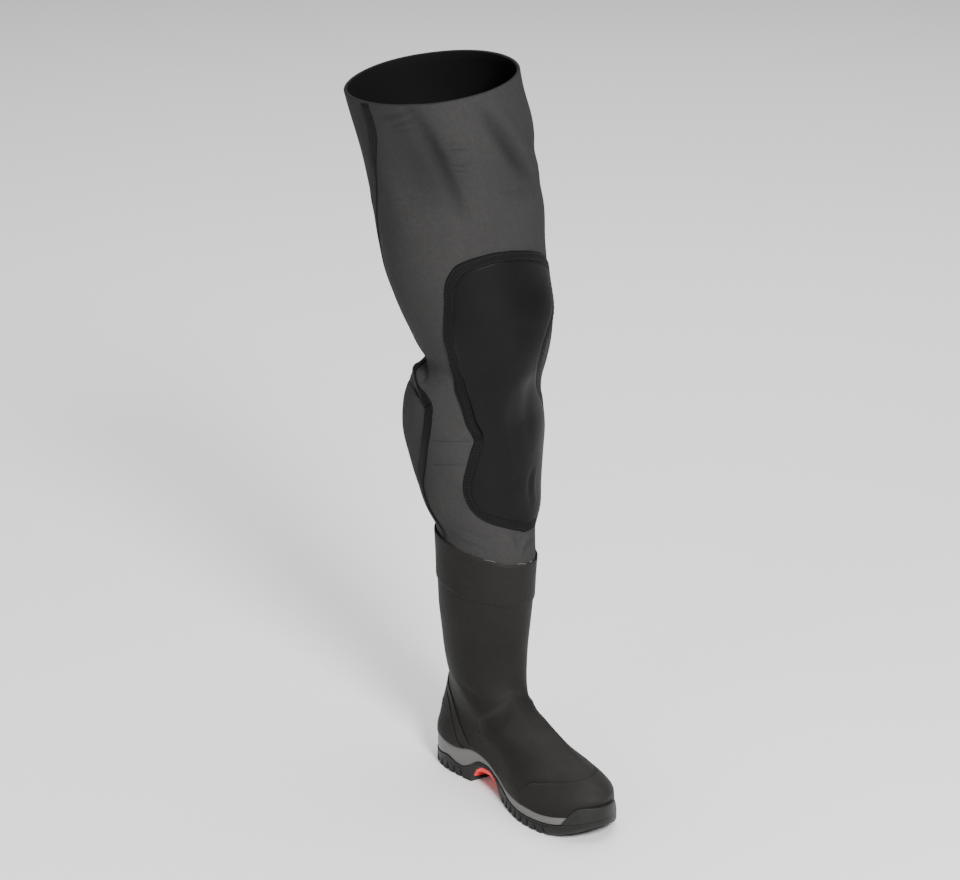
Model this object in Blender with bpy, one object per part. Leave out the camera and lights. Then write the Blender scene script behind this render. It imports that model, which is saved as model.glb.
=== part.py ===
"""One left leg of a neoprene chest wader with its rubber boot, standing empty.

Metres, +X to the toe, +Y to the outer side of a left foot, +Z up. The floor is
z = 0 and the origin lies on it, under the middle of the boot's shaft.
"""
import bpy
import numpy as np

# Main sizes
SOLE_LENGTH = 0.318
BALL_WIDTH = 0.114
BOOT_HEIGHT = 0.300
LEG_HEIGHT = 0.860
THIGH_WIDTH = 0.200
SOLE_HEIGHT = 0.039
RIM_SLOPE = 0.034

# Thicknesses and clearances
GAP = 0.0003
SOFT_GAP = 0.0005
UPPER_WALL = 0.003
LEG_WALL = 0.004
CUFF_WALL = 0.0014
COLLAR_STEP = 0.0135
PAD_THICKNESS = 0.0024
BINDING_THICKNESS = 0.0016
BINDING_WIDTH = 0.012
TAPE_THICKNESS = 0.0010
TAPE_WIDTH = 0.0125
OVERLAY_THICKNESS = 0.0010
INSOLE_THICKNESS = 0.004
INSOLE_BEVEL = 0.0012
FOOTBED_DEPTH = 0.003
FOOTBED_RIM = 0.0070
INSERT_THICKNESS = 0.0065
INSERT_INSET = 0.0015
SOLE_BEVEL = 0.0015
BAND_BEVEL = 0.0008
BAND_INSET = 0.0010
BUMPER_WALL = 0.0026
BUMPER_DRAFT = 0.0010
COLLAR_EASE = 0.0010
CUT_DEPTH = 0.002
CUT_REACH = 0.006

# Lugs: a lug lies at each of the two resting spots
LUG_PITCH = 0.013
GROOVE_WIDTH = 0.004
GROOVE_DEPTH = 0.004
HEEL_GROOVES = 5
FOREFOOT_GROOVES = 8

HEEL_BACK = 0.198 * SOLE_LENGTH
FOREFOOT_REST = 0.693 * SOLE_LENGTH - HEEL_BACK
TOE_IN = 0.053 * BALL_WIDTH
LEG_RISE = LEG_HEIGHT - BOOT_HEIGHT
WRAP_RADIUS = 0.43 * THIGH_WIDTH

# Sole plan. Columns: share of the length from the heel, medial and lateral
# fullness as shares of the ball width
SOLE_PLAN = np.array([
    (0.00, 0.600, 0.600),
    (0.04, 0.612, 0.612),
    (0.12, 0.548, 0.562),
    (0.25, 0.419, 0.462),
    (0.38, 0.324, 0.433),
    (0.50, 0.336, 0.465),
    (0.62, 0.441, 0.542),
    (0.70, 0.508, 0.586),
    (0.80, 0.559, 0.616),
    (0.90, 0.587, 0.630),
    (1.00, 0.570, 0.575)])

# Side of the sole. Columns: share of the length, top of the grey band and
# bottom of the grey band as shares of the sole height
BAND = np.array([
    (0.000, 1.00, 0.385),
    (0.060, 0.99, 0.400),
    (0.110, 0.975, 0.42),
    (0.176, 0.94, 0.497),
    (0.233, 0.94, 0.385),
    (0.267, 0.98, 0.382),
    (0.302, 1.04, 0.508),
    (0.349, 1.03, 0.744),
    (0.377, 0.99, 0.777),
    (0.409, 0.93, 0.774),
    (0.469, 0.76, 0.626),
    (0.541, 0.61, 0.449),
    (0.632, 0.59, 0.336),
    (0.726, 0.60, 0.326),
    (0.814, 0.59, 0.351),
    (0.871, 0.63, 0.390),
    (0.906, 0.68, 0.450),
    (0.950, 0.76, 0.540),
    (1.000, 0.87, 0.670)])

# Underside. Columns: share of the length, height as a share of the sole height
UNDERSIDE = np.array([
    (0.000, 0.150),
    (0.020, 0.075),
    (0.045, 0.015),
    (0.060, 0.000),
    (0.314, 0.000),
    (0.330, 0.300),
    (0.340, 0.460),
    (0.362, 0.585),
    (0.384, 0.635),
    (0.425, 0.645),
    (0.465, 0.520),
    (0.487, 0.370),
    (0.503, 0.140),
    (0.528, 0.040),
    (0.550, 0.000),
    (0.830, 0.000),
    (0.855, 0.040),
    (0.915, 0.165),
    (0.956, 0.295),
    (1.000, 0.480)])

# Toe bumper. Columns: share of the length, top as a share of the sole height
BUMPER = np.array([
    (0.908, 0.50),
    (0.928, 0.72),
    (0.943, 0.90),
    (0.962, 1.03),
    (0.980, 1.07),
    (1.000, 1.07)])

# Rings of the boot's upper, from the sole to above its shaft. Columns: level,
# height at the heel and height at the toe as shares of the boot height; back
# and front as shares of the sole length from the heel; half width at the heel
# and at the ball as shares of the ball width; share of the sole's plan; share
# of the sole's wave; shift to the outer side as a share of the ball width
UPPER = np.array([
    (0.100, 0.118, 0.081, 0.006, 0.983, 0.360, 0.465, 1.00, 1.00, 0.000),
    (0.112, 0.130, 0.093, 0.006, 0.983, 0.360, 0.465, 1.00, 1.00, 0.000),
    (0.140, 0.157, 0.127, 0.003, 0.984, 0.360, 0.456, 0.90, 0.80, 0.000),
    (0.167, 0.183, 0.157, 0.003, 0.990, 0.351, 0.395, 0.68, 0.60, 0.000),
    (0.193, 0.210, 0.183, -0.001, 0.969, 0.338, 0.355, 0.42, 0.42, 0.000),
    (0.217, 0.237, 0.200, -0.004, 0.931, 0.329, 0.337, 0.20, 0.30, 0.000),
    (0.238, 0.263, 0.213, -0.002, 0.877, 0.320, 0.321, 0.06, 0.20, 0.004),
    (0.258, 0.290, 0.225, 0.004, 0.808, 0.316, 0.316, 0.00, 0.10, 0.009),
    (0.277, 0.317, 0.237, 0.012, 0.726, 0.316, 0.313, 0.00, 0.00, 0.013),
    (0.297, 0.343, 0.252, 0.020, 0.654, 0.320, 0.310, 0.00, 0.00, 0.018),
    (0.322, 0.370, 0.273, 0.026, 0.582, 0.325, 0.305, 0.00, 0.00, 0.021),
    (0.348, 0.397, 0.300, 0.030, 0.519, 0.333, 0.300, 0.00, 0.00, 0.025),
    (0.377, 0.423, 0.330, 0.031, 0.464, 0.346, 0.307, 0.00, 0.00, 0.029),
    (0.408, 0.453, 0.363, 0.030, 0.423, 0.360, 0.351, 0.00, 0.00, 0.035),
    (0.445, 0.487, 0.403, 0.029, 0.403, 0.377, 0.377, 0.00, 0.00, 0.039),
    (0.490, 0.527, 0.453, 0.027, 0.395, 0.395, 0.395, 0.00, 0.00, 0.042),
    (0.545, 0.573, 0.517, 0.026, 0.394, 0.412, 0.412, 0.00, 0.00, 0.042),
    (0.617, 0.633, 0.600, 0.021, 0.400, 0.434, 0.434, 0.00, 0.00, 0.042),
    (0.683, 0.685, 0.681, 0.016, 0.407, 0.456, 0.456, 0.00, 0.00, 0.042),
    (0.783, 0.783, 0.783, 0.009, 0.419, 0.469, 0.469, 0.00, 0.00, 0.042),
    (0.873, 0.873, 0.873, 0.005, 0.425, 0.476, 0.476, 0.00, 0.00, 0.042),
    (1.000, 1.000, 1.000, 0.002, 0.430, 0.486, 0.486, 0.00, 0.00, 0.044),
    (1.070, 1.070, 1.070, 0.002, 0.431, 0.488, 0.488, 0.00, 0.00, 0.044)])

# Sections of the neoprene leg above the boot. Columns: share of the rise above
# the boot; middle in x, front and back reach, middle in y, medial and lateral
# reach, all as shares of the thigh width, or of SHAFT where the boot holds the leg
SHAFT = (0.629 * SOLE_LENGTH, 1.754 * BALL_WIDTH)
LEG = np.array([
    (-0.068, 0.028, 0.328, 0.326, 0.024, 0.268, 0.268),
    (-0.018, 0.028, 0.333, 0.331, 0.024, 0.272, 0.274),
    (0.009, 0.028, 0.327, 0.333, 0.021, 0.273, 0.276),
    (0.032, 0.020, 0.320, 0.345, 0.015, 0.288, 0.295),
    (0.057, 0.005, 0.325, 0.360, 0.008, 0.310, 0.340),
    (0.107, -0.020, 0.345, 0.400, 0.000, 0.340, 0.370),
    (0.170, -0.040, 0.360, 0.450, 0.000, 0.370, 0.400),
    (0.232, -0.045, 0.370, 0.475, 0.000, 0.400, 0.410),
    (0.286, -0.030, 0.365, 0.480, -0.005, 0.400, 0.385),
    (0.339, 0.000, 0.375, 0.425, -0.010, 0.373, 0.360),
    (0.388, 0.040, 0.400, 0.350, -0.015, 0.330, 0.365),
    (0.416, 0.045, 0.420, 0.390, -0.020, 0.365, 0.380),
    (0.489, 0.025, 0.460, 0.465, -0.040, 0.430, 0.423),
    (0.571, -0.020, 0.480, 0.490, -0.080, 0.455, 0.455),
    (0.627, -0.035, 0.490, 0.490, -0.100, 0.465, 0.465),
    (0.711, -0.045, 0.505, 0.505, -0.120, 0.475, 0.480),
    (0.784, -0.060, 0.510, 0.510, -0.155, 0.480, 0.470),
    (0.893, -0.080, 0.530, 0.530, -0.210, 0.500, 0.500),
    (0.954, -0.090, 0.535, 0.535, -0.250, 0.498, 0.490),
    (1.036, -0.100, 0.545, 0.545, -0.300, 0.495, 0.485)])

# Knee pad. Columns: share of the rise, medial and lateral edge in degrees
# round the leg from its front
KNEE_PAD = np.array([
    (0.025, 14.0, 38.0),
    (0.040, -8.0, 48.0),
    (0.060, -31.0, 55.0),
    (0.080, -42.0, 58.0),
    (0.102, -46.5, 60.0),
    (0.143, -47.0, 61.0),
    (0.179, -42.0, 61.0),
    (0.211, -37.5, 60.5),
    (0.243, -33.5, 59.0),
    (0.271, -39.0, 55.0),
    (0.304, -44.5, 47.0),
    (0.327, -52.0, 39.0),
    (0.350, -59.5, 32.5),
    (0.375, -62.5, 27.0),
    (0.400, -64.5, 24.0),
    (0.423, -65.0, 25.0),
    (0.452, -65.0, 30.0),
    (0.495, -60.5, 45.0),
    (0.538, -54.5, 56.0),
    (0.563, -52.0, 56.5),
    (0.584, -49.5, 53.0),
    (0.605, -45.0, 43.0),
    (0.625, -37.5, 30.0),
    (0.638, -25.0, 14.0),
    (0.645, -14.0, 0.0)])

# Seam tapes. Columns: share of the rise, middle in degrees from the front
INSEAM = np.array([
    (0.012, -98.0),
    (0.059, -105.0),
    (0.093, -104.0),
    (0.129, -99.0),
    (0.164, -92.0),
    (0.205, -85.0),
    (0.245, -80.0),
    (0.277, -79.0),
    (0.307, -82.0),
    (0.330, -94.0),
    (0.358, -112.0),
    (0.393, -124.0),
    (0.446, -131.0),
    (0.536, -130.0),
    (0.625, -123.0),
    (0.693, -113.0),
    (0.750, -102.0),
    (0.830, -91.0),
    (0.884, -85.0),
    (0.915, -87.0)])
GUSSET = np.array([
    (0.700, -124.0),
    (0.760, -139.0),
    (0.830, -150.0),
    (0.884, -153.0),
    (0.915, -151.0)])

# Heel counter. Columns: degrees from the heel's middle, the groove across it and
# its top edge, as shares of the boot height
COUNTER = np.array([
    (0.0, 0.280, 0.317),
    (15.0, 0.275, 0.310),
    (33.0, 0.256, 0.290),
    (48.0, 0.217, 0.259),
    (54.5, 0.173, 0.230),
    (60.0, 0.132, 0.196),
    (68.0, 0.100, 0.128)])

# Toe cap. Columns: degrees from the toe, top edge and bottom edge as shares of
# the boot height
TOE_CAP = np.array([
    (-66.0, 0.145, 0.124),
    (-64.5, 0.163, 0.120),
    (-62.0, 0.178, 0.120),
    (-56.0, 0.191, 0.120),
    (-47.0, 0.206, 0.121),
    (-36.0, 0.215, 0.135),
    (-27.0, 0.224, 0.152),
    (-13.5, 0.235, 0.158),
    (0.0, 0.240, 0.158),
    (13.5, 0.237, 0.158),
    (27.0, 0.224, 0.152),
    (36.0, 0.216, 0.135),
    (47.0, 0.207, 0.121),
    (56.0, 0.196, 0.120),
    (62.0, 0.176, 0.120),
    (66.0, 0.145, 0.124)])


def smooth(table, at):
    """Smooth curve through the table's first column, for all its other columns."""
    table = np.asarray(table, float)
    xs = table[:, 0]
    ys = table[:, 1:]
    at = np.clip(np.asarray(at, float), xs[0], xs[-1])
    step = np.diff(xs)[:, None]
    rise = np.diff(ys, axis=0) / step
    slope = np.empty_like(ys)
    slope[0] = rise[0]
    slope[-1] = rise[-1]
    slope[1:-1] = (rise[:-1] * step[1:] + rise[1:] * step[:-1]) / (step[:-1] + step[1:])
    i = np.clip(np.searchsorted(xs, at, side="right") - 1, 0, len(xs) - 2)
    wide = (xs[i + 1] - xs[i])[..., None]
    t = (at - xs[i])[..., None] / wide
    values = (2 * t**3 - 3 * t**2 + 1) * ys[i]
    values += (t**3 - 2 * t**2 + t) * wide * slope[i]
    values += (3 * t**2 - 2 * t**3) * ys[i + 1]
    values += (t**3 - t**2) * wide * slope[i + 1]
    return np.moveaxis(values, -1, 0)


def ease(value, start, end):
    t = np.clip((value - start) / (end - start), 0.0, 1.0)
    return t * t * (3 - 2 * t)


def fullness(t, side):
    medial, lateral = smooth(SOLE_PLAN, t)
    return np.where(side >= 0, lateral, medial)


def sole_edge(turn, inset=0.0):
    """Point of the sole's plan outline, moved inwards by the inset."""
    def plain(angle):
        t = (1 + np.cos(angle)) / 2
        x = SOLE_LENGTH * t - HEEL_BACK
        y = BALL_WIDTH * fullness(t, np.sin(angle)) * np.sin(angle) - TOE_IN * t * t
        return np.stack([x, y], -1)
    turn = np.asarray(turn, float)
    ahead = plain(turn + 1e-4) - plain(turn - 1e-4)
    ahead /= np.linalg.norm(ahead, axis=-1, keepdims=True)
    inward = np.stack([-ahead[..., 1], ahead[..., 0]], -1)
    return plain(turn) + inward * np.asarray(inset)[..., None]


def share_of(x):
    return (x + HEEL_BACK) / SOLE_LENGTH


def band_top(x):
    return smooth(BAND, share_of(x))[0] * SOLE_HEIGHT


def band_bottom(x):
    return smooth(BAND, share_of(x))[1] * SOLE_HEIGHT


def upper(turn, level):
    """Outer surface of the boot's upper; turn is 0 at the toe, level is a height."""
    turn, level = np.broadcast_arrays(np.asarray(turn, float), np.asarray(level, float))
    columns = smooth(UPPER, level / BOOT_HEIGHT)
    heel_z, toe_z, back, front, heel_half, ball_half, plan, wave, shift = columns
    t = (1 + np.cos(turn)) / 2
    x = SOLE_LENGTH * (back + (front - back) * t) - HEEL_BACK
    ball = ease(t, 0.38, 0.72)
    half = plan * 0.974 * fullness(t, np.sin(turn))
    half += (1 - plan) * (heel_half + (ball_half - heel_half) * ball)
    toe_in = TOE_IN * t * t * np.clip((front - 0.403) / 0.58, 0, 1)
    y = BALL_WIDTH * (shift + half * np.sin(turn)) - toe_in
    first = UPPER[1, 1] + (UPPER[1, 2] - UPPER[1, 1]) * t
    z = BOOT_HEIGHT * (heel_z + (toe_z - heel_z) * t)
    z += wave * (band_top(x) - BOOT_HEIGHT * first)
    return np.stack([x, y, z], -1)


def normals(surface, turn, height):
    across = surface(turn + 1e-4, height) - surface(turn - 1e-4, height)
    along = surface(turn, height + 1e-5) - surface(turn, height - 1e-5)
    out = np.cross(across, along)
    return out / np.linalg.norm(out, axis=-1, keepdims=True)


def offset(surface, turn, height, out):
    turn, height = np.broadcast_arrays(np.asarray(turn, float), np.asarray(height, float))
    return surface(turn, height) + normals(surface, turn, height) * np.asarray(out)[..., None]


def cuff_top(turn):
    return BOOT_HEIGHT * (0.963 - 0.047 * np.cos(turn - np.radians(35)))


def cuff_bottom(turn):
    return BOOT_HEIGHT * (0.777 - 0.033 * np.cos(turn - np.radians(35)))


def leg(turn, height):
    """Outer surface of the neoprene leg: inside the boot it follows the upper."""
    turn, height = np.broadcast_arrays(np.asarray(turn, float), np.asarray(height, float))
    share = (height - BOOT_HEIGHT) / LEG_RISE
    middle_x, front, back, middle_y, medial, lateral = smooth(LEG, share)
    held = 1 - ease(share, 0.009, 0.057)
    c = np.cos(turn)
    s = np.sin(turn)
    x = (middle_x + np.where(c >= 0, front, back) * c) * (THIGH_WIDTH + (SHAFT[0] - THIGH_WIDTH) * held)
    y = (middle_y + np.where(s >= 0, lateral, medial) * s) * (THIGH_WIDTH + (SHAFT[1] - THIGH_WIDTH) * held)
    free = np.stack([x, y, height], -1)
    boot = upper(turn, np.minimum(height, 1.06 * BOOT_HEIGHT))
    centre = np.stack([np.full_like(x, 0.018 * SOLE_LENGTH), np.full_like(x, 0.042 * BALL_WIDTH), height], -1)
    boot[..., 2] = height
    out = boot - centre
    reach = np.linalg.norm(out[..., :2], axis=-1, keepdims=True)
    tucked = boot - out / reach * (UPPER_WALL + 2 * GAP)
    tucked[..., 2] = height
    start = cuff_top(turn) - COLLAR_STEP + COLLAR_EASE
    free_share = ease(height, start, cuff_top(turn) - COLLAR_EASE)[..., None]
    return tucked + (free - tucked) * free_share


def make(name, verts, faces, material):
    """Closed object with its faces turned outwards."""
    verts = np.asarray(verts, float)
    faces = [tuple(int(i) for i in face) for face in faces]
    volume = 0.0
    for face in faces:
        for k in range(1, len(face) - 1):
            a, b, c = verts[face[0]], verts[face[k]], verts[face[k + 1]]
            volume += np.dot(a, np.cross(b, c))
    if volume < 0:
        faces = [face[::-1] for face in faces]
    mesh = bpy.data.meshes.new(name)
    mesh.from_pydata([tuple(v) for v in verts], [], faces)
    mesh.update()
    item = bpy.data.objects.new(name, mesh)
    if material is None:
        item.hide_render = True
        item.display_type = "WIRE"
        tools.objects.link(item)
    else:
        mesh.materials.append(material)
        home.objects.link(item)
    return item


def tube(rings, name, material):
    """Closed loop of rings, such as an outer wall, a rim, an inner wall and a rim."""
    rings = np.asarray(rings)
    count, around = rings.shape[:2]
    faces = []
    for i in range(count):
        for j in range(around):
            a = i * around + j
            b = i * around + (j + 1) % around
            c = (i + 1) % count * around + (j + 1) % around
            d = (i + 1) % count * around + j
            faces += [(a, b, c), (a, c, d)]
    return make(name, rings.reshape(-1, 3), faces, material)


def slab(rings, name, material):
    """Stack of rings closed below and above by rungs from one side to the other."""
    rings = np.asarray(rings)
    count, around = rings.shape[:2]
    faces = []
    for i in range(count - 1):
        for j in range(around):
            a = i * around + j
            b = i * around + (j + 1) % around
            faces.append((a, b, b + around, a + around))
    for base, flip in ((0, True), ((count - 1) * around, False)):
        for j in range(around // 2 - 1):
            rung = (base + j, base + j + 1, base + around - 2 - j, base + around - 1 - j)
            faces.append(rung[::-1] if flip else rung)
    return make(name, rings.reshape(-1, 3), faces, material)


def loft(sections, name, material):
    """Sections of equal point counts along a bar, closed by its two end faces."""
    sections = np.asarray(sections)
    count, around = sections.shape[:2]
    faces = []
    for i in range(count - 1):
        for j in range(around):
            a = i * around + j
            b = i * around + (j + 1) % around
            faces.append((a, b, b + around, a + around))
    faces.append(tuple(range(around))[::-1])
    faces.append(tuple((count - 1) * around + j for j in range(around)))
    return make(name, sections.reshape(-1, 3), faces, material)


def patch(surface, turn, height, inside, outside, name, material):
    """Overlay of even thickness on a grid of turns and heights of a surface."""
    low = offset(surface, turn, height, np.full(turn.shape, inside))
    high = offset(surface, turn, height, np.full(turn.shape, outside))
    rows, cols = turn.shape
    verts = np.concatenate([low.reshape(-1, 3), high.reshape(-1, 3)])
    shift = rows * cols
    faces = []
    for i in range(rows - 1):
        for j in range(cols - 1):
            a = i * cols + j
            b, c, d = a + 1, a + cols + 1, a + cols
            faces += [(a, d, c), (a, c, b)]
            faces += [(a + shift, b + shift, c + shift), (a + shift, c + shift, d + shift)]
    edge = [j for j in range(cols)]
    edge += [i * cols + cols - 1 for i in range(1, rows)]
    edge += [(rows - 1) * cols + j for j in range(cols - 2, -1, -1)]
    edge += [i * cols for i in range(rows - 2, 0, -1)]
    for k, a in enumerate(edge):
        b = edge[(k + 1) % len(edge)]
        faces.append((a, b, b + shift, a + shift))
    return make(name, verts, faces, material)


def keep_inside(item, cutter):
    """Keep only what lies inside the cutter."""
    cut = item.modifiers.new("cut", "BOOLEAN")
    cut.operation = "INTERSECT"
    cut.solver = "EXACT"
    cut.object = cutter


def material(name, colour, roughness):
    made = bpy.data.materials.new(name)
    made.use_nodes = True
    shader = made.node_tree.nodes["Principled BSDF"]
    shader.inputs["Base Color"].default_value = (*colour, 1.0)
    shader.inputs["Roughness"].default_value = roughness
    return made


def stations():
    """Shares of the sole's length, close together at its round ends and arch."""
    end = 0.08 * (np.arange(1, 6) / 5.0) ** 2
    heel = np.linspace(0.08, 0.24, 6)[1:]
    arch = np.linspace(0.24, 0.56, 13)[1:]
    ball = np.linspace(0.56, 0.92, 10)[1:-1]
    return np.concatenate([[0.0006], end, heel, arch, ball, 1 - end[::-1], [0.9994]])


def around_sole(shares):
    angle = np.arccos(2 * shares - 1)
    return np.concatenate([-angle, angle[::-1]])


def tread(shares):
    """Height of the underside with the grooves between its lugs."""
    height = np.interp(shares, UNDERSIDE[:, 0], UNDERSIDE[:, 1]) * SOLE_HEIGHT
    x = shares * SOLE_LENGTH - HEEL_BACK
    for middle in groove_middles():
        away = np.abs(x - middle)
        cut = GROOVE_DEPTH * np.clip((GROOVE_WIDTH / 2 - away) / (0.15 * GROOVE_WIDTH), 0, 1)
        height = np.maximum(height, cut)
    return height


def groove_middles():
    heel = (np.arange(HEEL_GROOVES) - HEEL_GROOVES / 2) * LUG_PITCH
    fore = (np.arange(FOREFOOT_GROOVES) - (FOREFOOT_GROOVES - 1) / 2) * LUG_PITCH
    return np.concatenate([heel, FOREFOOT_REST + fore])


for old in list(bpy.data.objects):
    bpy.data.objects.remove(old, do_unlink=True)
home = bpy.data.collections.new("neoprene_wader_leg")
bpy.context.scene.collection.children.link(home)
tools = bpy.data.collections.new("cutters")
bpy.context.scene.collection.children.link(tools)

black_rubber = material("outsole_rubber", (0.026, 0.026, 0.024), 0.62)
grey_rubber = material("band_rubber", (0.205, 0.195, 0.185), 0.55)
red_rubber = material("insert_rubber", (0.90, 0.045, 0.05), 0.42)
boot_rubber = material("boot_rubber", (0.036, 0.034, 0.031), 0.55)
cap_rubber = material("cap_rubber", (0.036, 0.034, 0.031), 0.50)
counter_rubber = material("counter_rubber", (0.034, 0.032, 0.030), 0.52)
bumper_rubber = material("bumper_rubber", (0.028, 0.028, 0.026), 0.60)
cuff_rubber = material("cuff_rubber", (0.040, 0.038, 0.035), 0.48)
foam = material("insole_foam", (0.055, 0.055, 0.055), 0.85)
neoprene = material("neoprene", (0.070, 0.066, 0.065), 0.80)
pad_fabric = material("pad_fabric", (0.016, 0.015, 0.015), 0.72)
binding_fabric = material("binding_fabric", (0.020, 0.019, 0.019), 0.65)
seam_tape = material("seam_tape", (0.020, 0.020, 0.020), 0.60)
gusset_tape_slot = material("gusset_tape", (0.020, 0.020, 0.020), 0.60)

# Outsole: cross sections along the foot, ruled from side to side
shares = stations()
bed_x = shares * SOLE_LENGTH - HEEL_BACK
bed_low = band_bottom(bed_x)
edges = []
for middle in groove_middles():
    for side in (-1, 1):
        for reach in (0.5 * GROOVE_WIDTH, 0.35 * GROOVE_WIDTH):
            edges.append(share_of(middle + side * reach))
edges = np.concatenate([edges, UNDERSIDE[1:-1, 0]])
kept = [s for s in shares if np.min(np.abs(edges - s)) > 0.0035 or s < 0.03 or s > 0.97]
outsole_shares = np.unique(np.round(np.concatenate([kept, edges]), 6))
sections = []
for share in outsole_shares:
    turn = np.arccos(2 * share - 1)
    medial = sole_edge(-turn)[1]
    lateral = sole_edge(turn)[1]
    x = share * SOLE_LENGTH - HEEL_BACK
    low = tread(np.array([share]))[0]
    high = np.interp(x, bed_x, bed_low) - GAP
    bevel = min(SOLE_BEVEL, 0.2 * (lateral - medial))
    sections.append([
        (x, medial, high),
        (x, medial, low + bevel),
        (x, medial + bevel, low),
        (x, lateral - bevel, low),
        (x, lateral, low + bevel),
        (x, lateral, high)])
loft(sections, "outsole", black_rubber)

# Red insert below the outsole's arch
insert_shares = np.linspace(0.328, 0.478, 13)
sections = []
for share in insert_shares:
    turn = np.arccos(2 * share - 1)
    medial = sole_edge(-turn, INSERT_INSET)[1]
    lateral = sole_edge(turn, INSERT_INSET)[1]
    x = share * SOLE_LENGTH - HEEL_BACK
    high = np.interp(share, UNDERSIDE[:, 0], UNDERSIDE[:, 1]) * SOLE_HEIGHT - GAP
    low = high - INSERT_THICKNESS * (0.35 + 0.65 * np.sin(np.pi * (share - 0.328) / 0.15) ** 0.5)
    bevel = 0.8 * SOLE_BEVEL
    sections.append([
        (x, medial, high),
        (x, medial, low + bevel),
        (x, medial + bevel, low),
        (x, lateral - bevel, low),
        (x, lateral, low + bevel),
        (x, lateral, high)])
loft(sections, "arch_insert", red_rubber)


def band_inset(x):
    """How far the band lies inside the sole's edge: further behind the toe bumper."""
    share = share_of(x)
    return BAND_INSET * (1 + ease(share, 0.940, 0.995)) + BUMPER_WALL * ease(share, 0.890, 0.925)


# Midsole: the grey band outside and a shallow footbed inside
turns = around_sole(stations())
plain_x = sole_edge(turns)[:, 0]
bed_edge = FOOTBED_RIM + BAND_BEVEL
rings = []
for inset, rise in ((0.0, 0.0), (0.0, 0.85), (BAND_BEVEL, 1.0), (FOOTBED_RIM, 1.0), (bed_edge, 0.0)):
    ring = sole_edge(turns, band_inset(plain_x) + inset)
    top = band_top(ring[:, 0]) - GAP
    low = band_bottom(ring[:, 0])
    z = low + (top - low) * rise
    if inset == bed_edge:
        z = top - np.minimum(FOOTBED_DEPTH, 0.45 * (top - low))
    rings.append(np.column_stack([ring, z]))
slab(rings, "midsole", grey_rubber)

# Toe bumper: a wall outside the band and the upper, between its two low ends
count = 26
bumper_turns = np.arccos(2 * 0.912 - 1) * np.linspace(-1, 1, count)
sections = []
for turn in bumper_turns:
    share = (1 + np.cos(turn)) / 2
    x = share * SOLE_LENGTH - HEEL_BACK
    inner = band_inset(x) - GAP
    low = band_bottom(x) + GAP
    high = np.interp(share, BUMPER[:, 0], BUMPER[:, 1]) * SOLE_HEIGHT
    side_low = 1.0 - 0.10 * ease(np.sin(turn), 0.0, 0.35)
    high = low + (high - low) * side_low
    outer_low = sole_edge(turn, 0.0)
    outer_high = sole_edge(turn, 0.4 * BUMPER_DRAFT)
    top_out = sole_edge(turn, BUMPER_DRAFT)
    inner_low = sole_edge(turn, inner)
    sections.append([
        (*outer_low, low),
        (*outer_high, low + 0.85 * (high - low)),
        (*top_out, high),
        (*inner_low, high),
        (*inner_low, low)])
loft(sections, "toe_bumper", bumper_rubber)

# Boot upper: one wall, open at the collar and above the sole
BOOT_TURNS = 36
outer_levels = np.array([0.100, 0.120, 0.140, 0.167, 0.193, 0.217, 0.238, 0.258, 0.280, 0.306,
                         0.335, 0.366, 0.400, 0.440, 0.500, 0.590, 0.750, 0.94])
inner_levels = np.array([0.94, 0.82, 0.64, 0.50, 0.42, 0.36, 0.31, 0.265, 0.225, 0.18, 0.14, 0.100])


def boot_level(share, turn):
    """Height at a share of the boot, bent so that the top follows the cuff."""
    top = cuff_top(turn) - COLLAR_STEP
    return share * BOOT_HEIGHT + (top - 0.94 * BOOT_HEIGHT) * ease(share, 0.70, 0.94)


turns = np.arange(BOOT_TURNS) * 2 * np.pi / BOOT_TURNS
rings = [upper(turns, boot_level(level, turns)) for level in outer_levels]
for level in inner_levels:
    height = boot_level(level, turns)
    rings.append(upper(turns, height) - normals(upper, turns, height) * UPPER_WALL)
boot = tube(rings, "boot_upper", boot_rubber)
sections = []
for share in np.concatenate([[-0.05], stations(), [1.05]]):
    x = share * SOLE_LENGTH - HEEL_BACK
    high = band_top(x)
    sections.append([(x, -BALL_WIDTH, 0.0), (x, BALL_WIDTH, 0.0), (x, BALL_WIDTH, high), (x, -BALL_WIDTH, high)])
bed = boot.modifiers.new("bed", "BOOLEAN")
bed.operation = "DIFFERENCE"
bed.solver = "EXACT"
bed.object = loft(sections, "bed_cutter", None)


def boot_shell(first, last, rows, out, name, slot):
    """Even layer over the upper's own facets, which a cutter then trims."""
    turn = np.arange(first, last + 1) * 2 * np.pi / BOOT_TURNS
    turn, level = np.meshgrid(turn, outer_levels[:rows])
    return patch(upper, turn, boot_level(level, turn), GAP, GAP + out, name, slot)


# Insole
turns_in = around_sole(stations())
plain_x = sole_edge(turns_in)[:, 0]
rings = []
for inset, rise in ((0.0, 0.0), (0.0, 0.7), (INSOLE_BEVEL, 1.0)):
    ring = sole_edge(turns_in, band_inset(plain_x) + bed_edge + 2 * GAP + inset)
    top = band_top(ring[:, 0]) - GAP
    low = top - np.minimum(FOOTBED_DEPTH, 0.45 * (top - band_bottom(ring[:, 0]))) + GAP
    rings.append(np.column_stack([ring, low + INSOLE_THICKNESS * rise]))
slab(rings, "insole", foam)

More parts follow.
